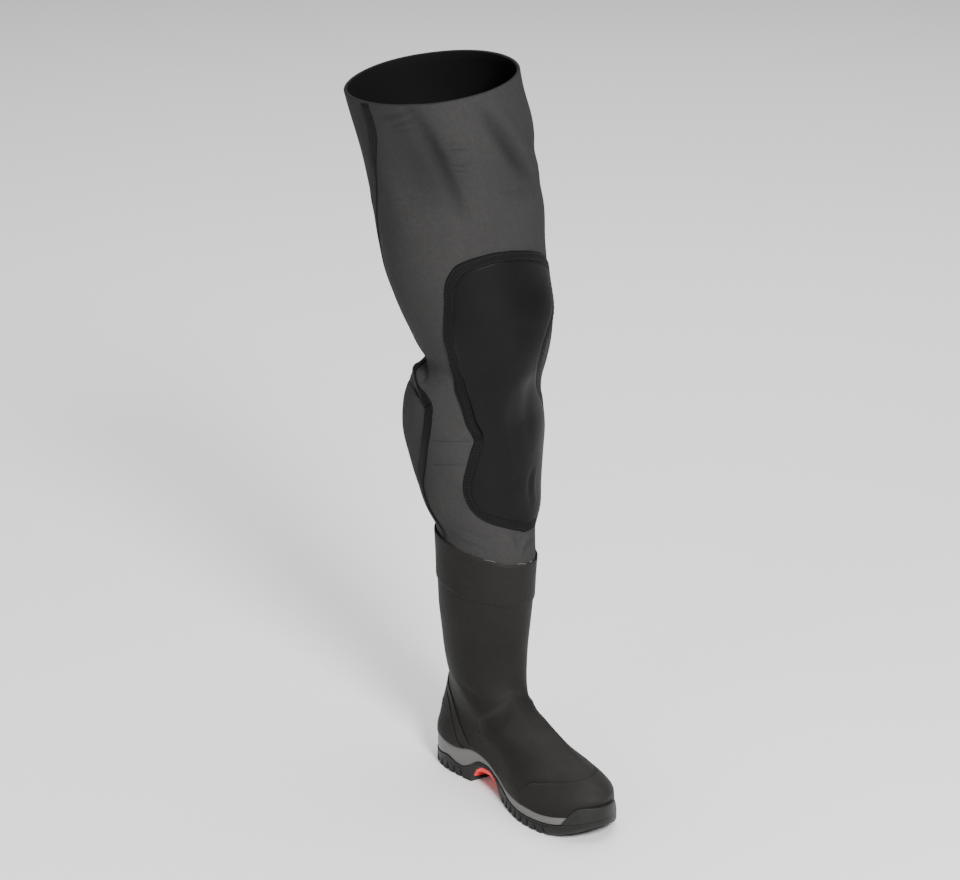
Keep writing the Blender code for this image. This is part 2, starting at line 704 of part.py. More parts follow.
# Heel counter and toe cap
half = BOOT_TURNS // 2
path = np.sin(np.linspace(-1, 1, 19) * np.pi / 2)
top = np.maximum(smooth(COUNTER, np.abs(67.5 * path))[1], 0.126) * BOOT_HEIGHT
low = np.full(path.shape, 0.118 * BOOT_HEIGHT)
rise = np.linspace(0, 1, 4)[:, None]
turn = np.pi + np.radians(67.5) * path + 0 * rise
counter = boot_shell(half - 8, half + 8, 12, OVERLAY_THICKNESS, "heel_counter", counter_rubber)
keep_inside(counter, patch(upper, turn, low + (top - low) * rise,
                           -CUT_DEPTH, CUT_REACH, "counter_cutter", None))
angle = np.radians(np.linspace(-66.0, 66.0, 21))
top, low = smooth(TOE_CAP, np.degrees(angle)) * BOOT_HEIGHT
rise = np.linspace(0, 1, 5)[:, None]
cap = boot_shell(-8, 8, 9, OVERLAY_THICKNESS, "toe_cap", cap_rubber)
keep_inside(cap, patch(upper, angle + 0 * rise, low + (top - low) * rise,
                       -CUT_DEPTH, CUT_REACH, "cap_cutter", None))

# Cuff round the boot's top
rings = []
for share, out in ((0.0, 0.4), (0.06, 1.0), (0.50, 1.15), (0.94, 1.0), (1.0, 0.5)):
    height = cuff_bottom(turns) + (cuff_top(turns) - cuff_bottom(turns)) * share
    rings.append(offset(upper, turns, height, np.full(BOOT_TURNS, GAP + out * CUFF_WALL)))
for share in (1.0, 0.5, 0.0):
    height = cuff_bottom(turns) + (cuff_top(turns) - cuff_bottom(turns)) * share
    rings.append(offset(upper, turns, height, np.full(BOOT_TURNS, GAP)))
tube(rings, "boot_cuff", cuff_rubber)

# Neoprene leg: one wall from inside the boot's top to the sloping rim
LEG_TURNS = 28
outer_shares = np.array([-0.085, -0.0425, -0.032, -0.021, -0.004, 0.02, 0.05, 0.10, 0.15, 0.20,
                         0.245, 0.285, 0.32, 0.355, 0.388, 0.42, 0.46, 0.52, 0.60, 0.70, 0.80,
                         0.90, 1.0])
inner_shares = np.array([1.0, 0.80, 0.60, 0.46, 0.388, 0.33, 0.25, 0.14, 0.055, 0.012, -0.021, -0.0425,
                         -0.085])


def leg_height(share, turn):
    """Height at a share of the rise; the lowest rings follow the cuff's slope."""
    rim = LEG_HEIGHT - RIM_SLOPE / 2 * (1 - np.sin(turn))
    top = (rim - BOOT_HEIGHT) / LEG_RISE
    plain = BOOT_HEIGHT + share * (1 + (top - 1) * ease(share, 0.6, 1.0)) * LEG_RISE
    low = cuff_top(turn) - 0.963 * BOOT_HEIGHT
    return plain + low * (1 - ease(share, 0.03, 0.12))


turns = np.arange(LEG_TURNS) * 2 * np.pi / LEG_TURNS
rings = [leg(turns, leg_height(share, turns)) for share in outer_shares]
for share in inner_shares:
    height = leg_height(share, turns)
    ring = leg(turns, height) - normals(leg, turns, height) * LEG_WALL
    ring[:, 2] = height
    rings.append(ring)
tube(rings, "wader_leg", neoprene)


def leg_shell(first, last, low, high, out, name, slot):
    """Even layer over the leg's own facets, which a cutter then trims."""
    turn = np.arange(first, last + 1) * 2 * np.pi / LEG_TURNS
    turn, share = np.meshgrid(turn, outer_shares[low:high])
    return patch(leg, turn, leg_height(share, turn), SOFT_GAP, SOFT_GAP + out, name, slot)


def pad_edges(count):
    """Medial edge upwards and lateral edge of the knee pad, in degrees and metres."""
    share = np.linspace(0.0, 1.0, count)
    share = 0.5 - 0.5 * np.cos(np.pi * share)
    share = 0.35 * share + 0.65 * np.linspace(0.0, 1.0, count)
    at = KNEE_PAD[0, 0] + (KNEE_PAD[-1, 0] - KNEE_PAD[0, 0]) * share
    medial, lateral = smooth(KNEE_PAD, at)
    return medial, lateral, BOOT_HEIGHT + at * LEG_RISE


# Knee pad inside its binding; both lie on the leg
medial, lateral, height = pad_edges(21)
loop = np.concatenate([
    np.column_stack([np.radians(medial) * WRAP_RADIUS, height]),
    np.column_stack([np.radians(lateral) * WRAP_RADIUS, height])[::-1]])
ahead = np.roll(loop, -1, axis=0) - np.roll(loop, 1, axis=0)
ahead /= np.linalg.norm(ahead, axis=1, keepdims=True)
inward = np.column_stack([ahead[:, 1], -ahead[:, 0]])


def pad_loop(inset):
    moved = loop + inward * inset
    return moved[:, 0] / WRAP_RADIUS, moved[:, 1]


rings = []
inner_edge = BINDING_WIDTH - SOFT_GAP
for inset, out in ((0.0, -CUT_DEPTH), (0.0, CUT_REACH), (inner_edge, CUT_REACH), (inner_edge, -CUT_DEPTH)):
    turn, at = pad_loop(inset)
    rings.append(offset(leg, turn, at, np.full(turn.shape, out)))
binding = leg_shell(-6, 6, 4, 20, BINDING_THICKNESS, "knee_pad_binding", binding_fabric)
keep_inside(binding, tube(rings, "binding_cutter", None))
turn, at = pad_loop(BINDING_WIDTH)
half = len(turn) // 2
left = np.column_stack([turn[:half], at[:half]])
right = np.column_stack([turn[half:][::-1], at[half:][::-1]])
across = np.linspace(0, 1, 9)[None, :]
turn = left[:, :1] + (right[:, :1] - left[:, :1]) * across
at = left[:, 1:] + (right[:, 1:] - left[:, 1:]) * across
pad = leg_shell(-6, 6, 4, 20, PAD_THICKNESS, "knee_pad", pad_fabric)
keep_inside(pad, patch(leg, turn, at, -CUT_DEPTH, CUT_REACH, "pad_cutter", None))


def tape(table, count, first, last, name, slot):
    """Flat strip along a line round the leg."""
    share = np.linspace(table[0, 0], table[-1, 0], count)
    turn = np.radians(smooth(table, share)[0])
    height = BOOT_HEIGHT + share * LEG_RISE
    middle = leg(turn, height)
    ahead = np.gradient(middle, axis=0)
    ahead /= np.linalg.norm(ahead, axis=1, keepdims=True)
    out = normals(leg, turn, height)
    across = np.cross(out, ahead)
    tilt = across[:, 2]
    flat = np.sqrt(np.clip(1 - tilt * tilt, 0, 1))
    rows_turn = []
    rows_height = []
    for side in (-1.0, 0.0, 1.0):
        rows_turn.append(turn - side * flat * TAPE_WIDTH / 2 / WRAP_RADIUS)
        rows_height.append(height + side * tilt * TAPE_WIDTH / 2)
    strip = leg_shell(first, last, 4, 23, TAPE_THICKNESS, name, slot)
    keep_inside(strip, patch(leg, np.array(rows_turn), np.array(rows_height),
                             -CUT_DEPTH, CUT_REACH, name + "_cutter", None))


tape(INSEAM, 28, -11, -5, "inseam_tape", seam_tape)
tape(GUSSET, 7, -13, -8, "gusset_tape", gusset_tape_slot)
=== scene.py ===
import bpy
import numpy as np
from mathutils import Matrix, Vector


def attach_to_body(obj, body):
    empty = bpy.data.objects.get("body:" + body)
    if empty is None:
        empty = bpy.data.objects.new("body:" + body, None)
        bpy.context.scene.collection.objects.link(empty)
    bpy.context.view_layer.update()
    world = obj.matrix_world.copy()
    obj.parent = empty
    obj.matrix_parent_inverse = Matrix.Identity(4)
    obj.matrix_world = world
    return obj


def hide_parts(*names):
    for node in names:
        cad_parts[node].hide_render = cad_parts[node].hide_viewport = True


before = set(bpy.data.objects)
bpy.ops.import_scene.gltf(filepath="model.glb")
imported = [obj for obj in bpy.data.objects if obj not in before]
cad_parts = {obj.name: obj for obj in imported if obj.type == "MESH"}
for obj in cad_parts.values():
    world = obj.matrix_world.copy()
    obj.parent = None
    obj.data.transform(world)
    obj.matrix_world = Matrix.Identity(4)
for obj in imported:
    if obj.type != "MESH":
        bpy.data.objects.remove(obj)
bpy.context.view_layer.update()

print("frame loaded")

# main sizes in metres, the same as in the solids; sunk is how deep a layer's hidden side lies in
# the surface under it, and the last two are the heights of the slow unevenness
form = {
    "soleLength": 0.318,
    "ballWidth": 0.114,
    "bootHeight": 0.300,
    "legHeight": 0.860,
    "thighWidth": 0.200,
    "soleHeight": 0.039,
    "rimSlope": 0.034,
    "gap": 0.0003,
    "upperWall": 0.003,
    "legWall": 0.004,
    "collarStep": 0.0135,
    "collarEase": 0.0010,
    "bandInset": 0.0010,
    "bumperWall": 0.0026,
    "sunk": 0.0004,
    "legUneven": 0.0007,
    "bootUneven": 0.00035}
soleLength = form["soleLength"]
ballWidth = form["ballWidth"]
bootHeight = form["bootHeight"]
legHeight = form["legHeight"]
thighWidth = form["thighWidth"]
soleHeight = form["soleHeight"]
gap = form["gap"]
heelBack = 0.198 * soleLength
forefootRest = 0.693 * soleLength - heelBack
toeIn = 0.053 * ballWidth
legRise = legHeight - bootHeight
wrapRadius = 0.43 * thighWidth
shaft = (0.629 * soleLength, 1.754 * ballWidth)
shaftMiddle = (0.018 * soleLength, 0.042 * ballWidth)

# small steps of turn and height, from which slopes are taken
turnStep = 1e-4
heightStep = 1e-5

# sole plan: share of the length from the heel, medial and lateral fullness in ball widths
solePlan = [
    (0.00, 0.600, 0.600),
    (0.04, 0.612, 0.612),
    (0.12, 0.548, 0.562),
    (0.25, 0.419, 0.462),
    (0.38, 0.324, 0.433),
    (0.50, 0.336, 0.465),
    (0.62, 0.441, 0.542),
    (0.70, 0.508, 0.586),
    (0.80, 0.559, 0.616),
    (0.90, 0.587, 0.630),
    (1.00, 0.570, 0.575)]

# grey band: share of the length, its top and its bottom in sole heights
bandRows = [
    (0.000, 1.00, 0.385),
    (0.060, 0.99, 0.400),
    (0.110, 0.975, 0.42),
    (0.176, 0.94, 0.497),
    (0.233, 0.94, 0.385),
    (0.267, 0.98, 0.382),
    (0.302, 1.04, 0.508),
    (0.349, 1.03, 0.744),
    (0.377, 0.99, 0.777),
    (0.409, 0.93, 0.774),
    (0.469, 0.76, 0.626),
    (0.541, 0.61, 0.449),
    (0.632, 0.59, 0.336),
    (0.726, 0.60, 0.326),
    (0.814, 0.59, 0.351),
    (0.871, 0.63, 0.390),
    (0.906, 0.68, 0.450),
    (0.950, 0.76, 0.540),
    (1.000, 0.87, 0.670)]

# underside: share of the length, height in sole heights
underRows = [
    (0.000, 0.150),
    (0.020, 0.075),
    (0.045, 0.015),
    (0.060, 0.000),
    (0.314, 0.000),
    (0.330, 0.300),
    (0.340, 0.460),
    (0.362, 0.585),
    (0.384, 0.635),
    (0.425, 0.645),
    (0.465, 0.520),
    (0.487, 0.370),
    (0.503, 0.140),
    (0.528, 0.040),
    (0.550, 0.000),
    (0.830, 0.000),
    (0.855, 0.040),
    (0.915, 0.165),
    (0.956, 0.295),
    (1.000, 0.480)]

# boot rings: level, height at heel and toe in boot heights; back and front in sole lengths;
# half width at heel and ball in ball widths; share of the plan; share of the wave; shift outwards
bootRings = [
    (0.100, 0.118, 0.081, 0.006, 0.983, 0.360, 0.465, 1.00, 1.00, 0.000),
    (0.112, 0.130, 0.093, 0.006, 0.983, 0.360, 0.465, 1.00, 1.00, 0.000),
    (0.140, 0.157, 0.127, 0.003, 0.984, 0.360, 0.456, 0.90, 0.80, 0.000),
    (0.167, 0.183, 0.157, 0.003, 0.990, 0.351, 0.395, 0.68, 0.60, 0.000),
    (0.193, 0.210, 0.183, -0.001, 0.969, 0.338, 0.355, 0.42, 0.42, 0.000),
    (0.217, 0.237, 0.200, -0.004, 0.931, 0.329, 0.337, 0.20, 0.30, 0.000),
    (0.238, 0.263, 0.213, -0.002, 0.877, 0.320, 0.321, 0.06, 0.20, 0.004),
    (0.258, 0.290, 0.225, 0.004, 0.808, 0.316, 0.316, 0.00, 0.10, 0.009),
    (0.277, 0.317, 0.237, 0.012, 0.726, 0.316, 0.313, 0.00, 0.00, 0.013),
    (0.297, 0.343, 0.252, 0.020, 0.654, 0.320, 0.310, 0.00, 0.00, 0.018),
    (0.322, 0.370, 0.273, 0.026, 0.582, 0.325, 0.305, 0.00, 0.00, 0.021),
    (0.348, 0.397, 0.300, 0.030, 0.519, 0.333, 0.300, 0.00, 0.00, 0.025),
    (0.377, 0.423, 0.330, 0.031, 0.464, 0.346, 0.307, 0.00, 0.00, 0.029),
    (0.408, 0.453, 0.363, 0.030, 0.423, 0.360, 0.351, 0.00, 0.00, 0.035),
    (0.445, 0.487, 0.403, 0.029, 0.403, 0.377, 0.377, 0.00, 0.00, 0.039),
    (0.490, 0.527, 0.453, 0.027, 0.395, 0.395, 0.395, 0.00, 0.00, 0.042),
    (0.545, 0.573, 0.517, 0.026, 0.394, 0.412, 0.412, 0.00, 0.00, 0.042),
    (0.617, 0.633, 0.600, 0.021, 0.400, 0.434, 0.434, 0.00, 0.00, 0.042),
    (0.683, 0.685, 0.681, 0.016, 0.407, 0.456, 0.456, 0.00, 0.00, 0.042),
    (0.783, 0.783, 0.783, 0.009, 0.419, 0.469, 0.469, 0.00, 0.00, 0.042),
    (0.873, 0.873, 0.873, 0.005, 0.425, 0.476, 0.476, 0.00, 0.00, 0.042),
    (1.000, 1.000, 1.000, 0.002, 0.430, 0.486, 0.486, 0.00, 0.00, 0.044),
    (1.070, 1.070, 1.070, 0.002, 0.431, 0.488, 0.488, 0.00, 0.00, 0.044)]

# leg sections: share of the rise above the boot; middle in x, front and back reach,
# middle in y, medial and lateral reach in thigh widths, or in shaft sizes where the boot holds it
legRows = [
    (-0.068, 0.028, 0.328, 0.326, 0.024, 0.268, 0.268),
    (-0.018, 0.028, 0.333, 0.331, 0.024, 0.272, 0.274),
    (0.009, 0.028, 0.327, 0.333, 0.021, 0.273, 0.276),
    (0.032, 0.020, 0.320, 0.345, 0.015, 0.288, 0.295),
    (0.057, 0.005, 0.325, 0.360, 0.008, 0.310, 0.340),
    (0.107, -0.020, 0.345, 0.400, 0.000, 0.340, 0.370),
    (0.170, -0.040, 0.360, 0.450, 0.000, 0.370, 0.400),
    (0.232, -0.045, 0.370, 0.475, 0.000, 0.400, 0.410),
    (0.286, -0.030, 0.365, 0.480, -0.005, 0.400, 0.385),
    (0.339, 0.000, 0.375, 0.425, -0.010, 0.373, 0.360),
    (0.388, 0.040, 0.400, 0.350, -0.015, 0.330, 0.365),
    (0.416, 0.045, 0.420, 0.390, -0.020, 0.365, 0.380),
    (0.489, 0.025, 0.460, 0.465, -0.040, 0.430, 0.423),
    (0.571, -0.020, 0.480, 0.490, -0.080, 0.455, 0.455),
    (0.627, -0.035, 0.490, 0.490, -0.100, 0.465, 0.465),
    (0.711, -0.045, 0.505, 0.505, -0.120, 0.475, 0.480),
    (0.784, -0.060, 0.510, 0.510, -0.155, 0.480, 0.470),
    (0.893, -0.080, 0.530, 0.530, -0.210, 0.500, 0.500),
    (0.954, -0.090, 0.535, 0.535, -0.250, 0.498, 0.490),
    (1.036, -0.100, 0.545, 0.545, -0.300, 0.495, 0.485)]


def smoothTable(table, at):
    # cubic through the rows with slopes from both neighbours; returns the columns after the first
    table = np.asarray(table, float)
    xs = table[:, 0]
    ys = table[:, 1:]
    at = np.clip(np.asarray(at, float), xs[0], xs[-1])
    step = np.diff(xs)[:, None]
    rise = np.diff(ys, axis=0) / step
    slope = np.empty_like(ys)
    slope[0] = rise[0]
    slope[-1] = rise[-1]
    slope[1:-1] = (rise[:-1] * step[1:] + rise[1:] * step[:-1]) / (step[:-1] + step[1:])
    i = np.clip(np.searchsorted(xs, at, side="right") - 1, 0, len(xs) - 2)
    wide = (xs[i + 1] - xs[i])[..., None]
    t = (at - xs[i])[..., None] / wide
    values = (2 * t**3 - 3 * t**2 + 1) * ys[i]
    values += (t**3 - 2 * t**2 + t) * wide * slope[i]
    values += (3 * t**2 - 2 * t**3) * ys[i + 1]
    values += (t**3 - t**2) * wide * slope[i + 1]
    return np.moveaxis(values, -1, 0)


def ease(value, start, end):
    # 3tt - 2ttt between start and end
    t = np.clip((value - start) / (end - start), 0.0, 1.0)
    return t * t * (3 - 2 * t)


def bell(value, width):
    # exp(-(value / width) squared)
    return np.exp(-(value / width) ** 2)


def quarterRound(share):
    # quarter circle: sqrt(1 - (1 - share) squared)
    return np.sqrt(1 - (1 - np.clip(share, 0, 1)) ** 2)


def easedSteps(count):
    # from 0 to 1 as half a cosine, closer together at both ends
    return 0.5 - 0.5 * np.cos(np.pi * np.linspace(0, 1, count))


def stepsFromEnds(count):
    # how many steps each place in a row is from the nearer end
    return np.minimum(np.arange(count), np.arange(count)[::-1])


def unit(vectors):
    # the same directions with length 1
    return vectors / np.linalg.norm(vectors, axis=-1, keepdims=True)


def runAlong(points):
    # length along a line up to each of its points
    return np.concatenate([[0], np.cumsum(np.linalg.norm(np.diff(points, axis=0), axis=1))])


def signedTurn(turn):
    # the same turn between -pi and pi
    return (turn + np.pi) % (2 * np.pi) - np.pi


def roundTurns(count):
    # even turns all the way round
    return signedTurn(np.arange(count) * 2 * np.pi / count)


def fullness(t, side):
    # half width at a share of the length, from the lateral column where side is plus
    medial, lateral = smoothTable(solePlan, t)
    return np.where(side >= 0, lateral, medial)


def soleEdge(turn, inset=0.0):
    # plan outline: x along the foot by cos(turn), y by fullness times sin(turn), moved inwards by inset
    def plain(angle):
        t = (1 + np.cos(angle)) / 2
        x = soleLength * t - heelBack
        y = ballWidth * fullness(t, np.sin(angle)) * np.sin(angle) - toeIn * t * t
        return np.stack([x, y], -1)
    turn = np.asarray(turn, float)
    ahead = unit(plain(turn + turnStep) - plain(turn - turnStep))
    inward = np.stack([-ahead[..., 1], ahead[..., 0]], -1)
    return plain(turn) + inward * np.asarray(inset)[..., None]


def shareOf(x):
    # share of the sole's length from the heel
    return (x + heelBack) / soleLength


def bandTop(x):
    # height of the band's top, from its table
    return smoothTable(bandRows, shareOf(x))[0] * soleHeight


def bandBottom(x):
    # height of the band's bottom, from its table
    return smoothTable(bandRows, shareOf(x))[1] * soleHeight


def bandInset(x):
    # how far the band lies inside the sole's edge: twice as far at the toe, and under the bumper by its wall
    share = shareOf(x)
    inset = form["bandInset"] * (1 + ease(share, 0.940, 0.995))
    return inset + form["bumperWall"] * ease(share, 0.890, 0.925)


def bootSurface(turn, level):
    # ring at a level: x between back and front by (1 + cos) / 2, y by half width times sin,
    # z between heel and toe height, with the sole's wave added low down
    turn, level = np.broadcast_arrays(np.asarray(turn, float), np.asarray(level, float))
    columns = smoothTable(bootRings, level / bootHeight)
    heelZ, toeZ, back, front, heelHalf, ballHalf, plan, wave, shift = columns
    t = (1 + np.cos(turn)) / 2
    x = soleLength * (back + (front - back) * t) - heelBack
    half = plan * 0.974 * fullness(t, np.sin(turn))
    half += (1 - plan) * (heelHalf + (ballHalf - heelHalf) * ease(t, 0.38, 0.72))
    inward = toeIn * t * t * np.clip((front - 0.403) / 0.58, 0, 1)
    y = ballWidth * (shift + half * np.sin(turn)) - inward
    first = bootRings[1][1] + (bootRings[1][2] - bootRings[1][1]) * t
    z = bootHeight * (heelZ + (toeZ - heelZ) * t)
    z += wave * (bandTop(x) - bootHeight * first)
    return np.stack([x, y, z], -1)


def surfaceNormals(surface, turn, height):
    # cross product of the two directions in the surface
    across = surface(turn + turnStep, height) - surface(turn - turnStep, height)
    along = surface(turn, height + heightStep) - surface(turn, height - heightStep)
    return unit(np.cross(across, along))


# cuff's edges in boot heights: middle level and how far each dips towards a turn in degrees
cuffEdges = {"top": 0.963, "topDip": 0.047, "bottom": 0.777, "bottomDip": 0.033, "dipAt": 35.0}


def cuffTop(turn):
    # middle level less the dip times the cosine of the turn from dipAt
    dip = cuffEdges["topDip"] * np.cos(turn - np.radians(cuffEdges["dipAt"]))
    return bootHeight * (cuffEdges["top"] - dip)


def cuffBottom(turn):
    # the same for the lower edge
    dip = cuffEdges["bottomDip"] * np.cos(turn - np.radians(cuffEdges["dipAt"]))
    return bootHeight * (cuffEdges["bottom"] - dip)


def legSurface(turn, height):
    # four quarter ellipses per section, eased into the boot's inner side below the collar
    turn, height = np.broadcast_arrays(np.asarray(turn, float), np.asarray(height, float))
    share = (height - bootHeight) / legRise
    middleX, front, back, middleY, medial, lateral = smoothTable(legRows, share)
    held = 1 - ease(share, 0.009, 0.057)
    c = np.cos(turn)
    s = np.sin(turn)
    x = (middleX + np.where(c >= 0, front, back) * c) * (thighWidth + (shaft[0] - thighWidth) * held)
    y = (middleY + np.where(s >= 0, lateral, medial) * s) * (thighWidth + (shaft[1] - thighWidth) * held)
    free = np.stack([x, y, height], -1)
    boot = bootSurface(turn, np.minimum(height, 1.06 * bootHeight))
    # moved inwards by the boot's wall, level with the ground
    out = unit(boot[..., :2] - shaftMiddle)
    tucked = np.concatenate([boot[..., :2] - out * (form["upperWall"] + 2 * gap), height[..., None]], -1)
    start = cuffTop(turn) - form["collarStep"] + form["collarEase"]
    freeShare = ease(height, start, cuffTop(turn) - form["collarEase"])[..., None]
    return tucked + (free - tucked) * freeShare


def legLevel(share, turn):
    # height at a share of the rise; the rim slopes and the lowest rings follow the cuff
    rim = legHeight - form["rimSlope"] / 2 * (1 - np.sin(turn))
    top = (rim - bootHeight) / legRise
    plain = bootHeight + share * (1 + (top - 1) * ease(share, 0.6, 1.0)) * legRise
    drop = cuffTop(turn) - cuffEdges["top"] * bootHeight
    return plain + drop * (1 - ease(share, 0.03, 0.12))


def creaseField(table, degrees, height, fullHeight):
    # each row is a bent line through three points (degrees, share of fullHeight); the field is the sum of
    # depth * exp(-(distance / width) squared), faded at the line's ends
    total = np.zeros(np.broadcast(degrees, height).shape)
    pieces = 8
    s = np.linspace(0, 1, pieces + 1)
    for d0, h0, d1, h1, d2, h2, width, depth in table:
        bendD = 2 * d1 - (d0 + d2) / 2
        bendH = 2 * h1 - (h0 + h2) / 2
        lineD = (1 - s) ** 2 * d0 + 2 * s * (1 - s) * bendD + s * s * d2
        lineH = (1 - s) ** 2 * h0 + 2 * s * (1 - s) * bendH + s * s * h2
        lineU = np.radians(lineD) * wrapRadius
        u = np.radians((degrees - d1 + 180) % 360 - 180 + d1) * wrapRadius
        near = np.full(total.shape, 1.0)
        along = np.zeros(total.shape)
        for k in range(pieces):
            du = lineU[k + 1] - lineU[k]
            dv = (lineH[k + 1] - lineH[k]) * fullHeight
            v = height - lineH[k] * fullHeight
            q = np.clip(((u - lineU[k]) * du + v * dv) / (du * du + dv * dv), 0, 1)
            away = np.hypot(u - lineU[k] - q * du, v - q * dv)
            closer = away < near
            near = np.where(closer, away, near)
            along = np.where(closer, (k + q) / pieces, along)
        # wide forms fade softly, so that their ends show no edge
        fade = np.clip(4 * along * (1 - along), 0, 1) ** (0.6 if width < 0.03 else 1.2)
        total += depth * thighWidth * bell(near, width * thighWidth) * fade
    return total


# folds and creases of the neoprene: three points (degrees from the front, share of the leg's height),
# width and depth in thigh widths; a plus depth is a ridge and a minus depth a trough
legFolds = [
    (-150, 0.600, -116, 0.595, -92, 0.574, 0.028, -0.019),
    (-148, 0.574, -112, 0.580, -90, 0.560, 0.025, 0.022),
    (-140, 0.556, -106, 0.563, -88, 0.545, 0.012, -0.009),
    (152, 0.606, 172, 0.598, 204, 0.604, 0.034, -0.018),
    (146, 0.584, 176, 0.573, 212, 0.584, 0.032, 0.018),
    (160, 0.560, 186, 0.552, 208, 0.562, 0.024, -0.010),
    (100, 0.612, 124, 0.598, 148, 0.592, 0.026, -0.014),
    (98, 0.590, 126, 0.574, 150, 0.570, 0.026, 0.013),
    (84, 0.560, 108, 0.548, 132, 0.556, 0.030, -0.007),
    (-55, 0.978, -40, 0.890, -32, 0.804, 0.044, -0.028),
    (-40, 0.968, -22, 0.900, -16, 0.822, 0.080, 0.022),
    (-74, 0.960, -56, 0.890, -46, 0.815, 0.100, -0.017),
    (-98, 0.900, -82, 0.840, -74, 0.780, 0.080, 0.014),
    (0, 0.985, 19, 0.909, 58, 0.838, 0.036, 0.026),
    (-6, 0.972, 7, 0.914, 30, 0.852, 0.056, -0.026),
    (40, 0.872, 62, 0.860, 84, 0.868, 0.050, 0.010),
    (44, 0.895, 66, 0.886, 88, 0.896, 0.050, -0.008),
    (-78, 0.940, -64, 0.9475, -50, 0.958, 0.010, -0.0100),
    (-70, 0.932, -60, 0.938, -50, 0.947, 0.009, -0.0085),
    (-66, 0.926, -58, 0.930, -52, 0.936, 0.008, -0.0060),
    (-36, 0.9035, -28, 0.9075, -19, 0.9060, 0.009, -0.0100),
    (-36, 0.9110, -30, 0.9150, -24, 0.9140, 0.008, -0.0065),
    (-35, 0.8850, -28, 0.8860, -18, 0.8915, 0.009, -0.0100),
    (-34, 0.8790, -28, 0.8785, -22, 0.8810, 0.008, -0.0060),
    (-6, 0.8480, 14, 0.8440, 40, 0.8430, 0.010, -0.0070),
    (-2, 0.8400, 18, 0.8370, 44, 0.8350, 0.009, -0.0055),
    (-90, 0.604, -66, 0.604, -42, 0.600, 0.070, 0.022),
    (-78, 0.500, -60, 0.5015, -36, 0.5045, 0.010, -0.0030),
    (-80, 0.484, -62, 0.474, -46, 0.463, 0.012, -0.0030),
    (-60, 0.455, -48, 0.440, -40, 0.410, 0.040, 0.006),
    (38, 0.3610, 12, 0.3545, 5, 0.335, 0.013, 0.013),
    (32, 0.349, 17, 0.346, 9, 0.330, 0.012, -0.011),
    (2, 0.372, -2, 0.356, 3, 0.340, 0.016, -0.007),
    (-30, 0.362, -48, 0.366, -66, 0.378, 0.014, -0.005),
    (-36, 0.355, -56, 0.357, -76, 0.366, 0.012, 0.005),
    (-130, 0.520, -112, 0.470, -104, 0.415, 0.070, 0.009),
    (70, 0.470, 100, 0.450, 130, 0.468, 0.040, -0.006),
    (60, 0.380, 90, 0.372, 118, 0.378, 0.020, -0.007),
    (140, 0.372, 170, 0.366, 198, 0.374, 0.018, -0.007),
    (134, 0.386, 168, 0.380, 200, 0.388, 0.020, 0.006),
    (80, 0.800, 105, 0.770, 112, 0.720, 0.080, -0.009),
    (150, 0.860, 172, 0.835, 205, 0.850, 0.070, -0.010),
    (146, 0.825, 175, 0.800, 208, 0.818, 0.070, 0.009)]

# soft forms under the knee pad, laid out in the same way
padFolds = [
    (-2, 0.665, -4, 0.600, 8, 0.520, 0.110, 0.016),
    (-12, 0.585, -10, 0.510, 2, 0.440, 0.050, 0.016),
    (8, 0.600, 14, 0.540, 18, 0.470, 0.050, -0.007),
    (-44, 0.640, -36, 0.575, -22, 0.520, 0.080, -0.010),
    (24, 0.452, 19, 0.428, 24, 0.398, 0.022, -0.0045),
    (31, 0.450, 27, 0.426, 32, 0.400, 0.022, 0.0035)]


def legRelief(turn, height):
    # folds of the leg, the soft forms under the pad and a slow unevenness of sines
    degrees = np.degrees(turn)
    out = creaseField(legFolds, degrees, height, legHeight)
    out += creaseField(padFolds, degrees, height, legHeight)
    slow = np.sin(3 * turn + 21 * height) * np.sin(34 * height + 1.3)
    slow += 0.6 * np.sin(5 * turn - 47 * height + 0.7)
    out += form["legUneven"] * slow
    return out * ease(height, cuffTop(turn) + 0.001, cuffTop(turn) + 0.016)


def lifted(surface, relief, turn, height, out):
    # point of a surface moved along its normal by the relief and by out
    turn, height = np.broadcast_arrays(np.asarray(turn, float), np.asarray(height, float))
    lift = relief(turn, height) + out
    return surface(turn, height) + surfaceNormals(surface, turn, height) * lift[..., None]


def legPoint(turn, height, out):
    # point of the leg with its folds
    return lifted(legSurface, legRelief, turn, height, out)


# creases and dents of the rubber boot: degrees from the toe, level in boot heights
bootFolds = [
    (-100, 0.232, -72, 0.324, -10, 0.414, 0.009, 0.0044),
    (-93, 0.228, -65, 0.311, -8, 0.397, 0.018, -0.0046),
    (-16, 0.428, 8, 0.424, 36, 0.398, 0.022, 0.0030),
    (102, 0.236, 74, 0.322, 14, 0.412, 0.010, 0.0036),
    (95, 0.232, 67, 0.310, 10, 0.396, 0.017, -0.0044),
    (-170, 0.380, 178, 0.395, 166, 0.380, 0.060, -0.004),
    (-64, 0.168, -40, 0.2145, 6, 0.2360, 0.011, -0.0065),
    (-2, 0.2365, 38, 0.2155, 63, 0.172, 0.011, -0.0035),
    (-50, 0.170, -16, 0.206, 24, 0.208, 0.040, 0.0050)]


def bootRelief(turn, level):
    # ankle creases and a slow unevenness of sines
    out = creaseField(bootFolds, np.degrees(turn), level, bootHeight)
    slow = np.sin(2 * turn + 19 * level + 0.4) * np.sin(27 * level)
    slow += 0.5 * np.sin(5 * turn + 38 * level)
    return out + form["bootUneven"] * slow * ease(level, 0.22 * bootHeight, 0.40 * bootHeight)


def bootPoint(turn, level, out):
    # point of the boot with its creases
    return lifted(bootSurface, bootRelief, turn, level, out)


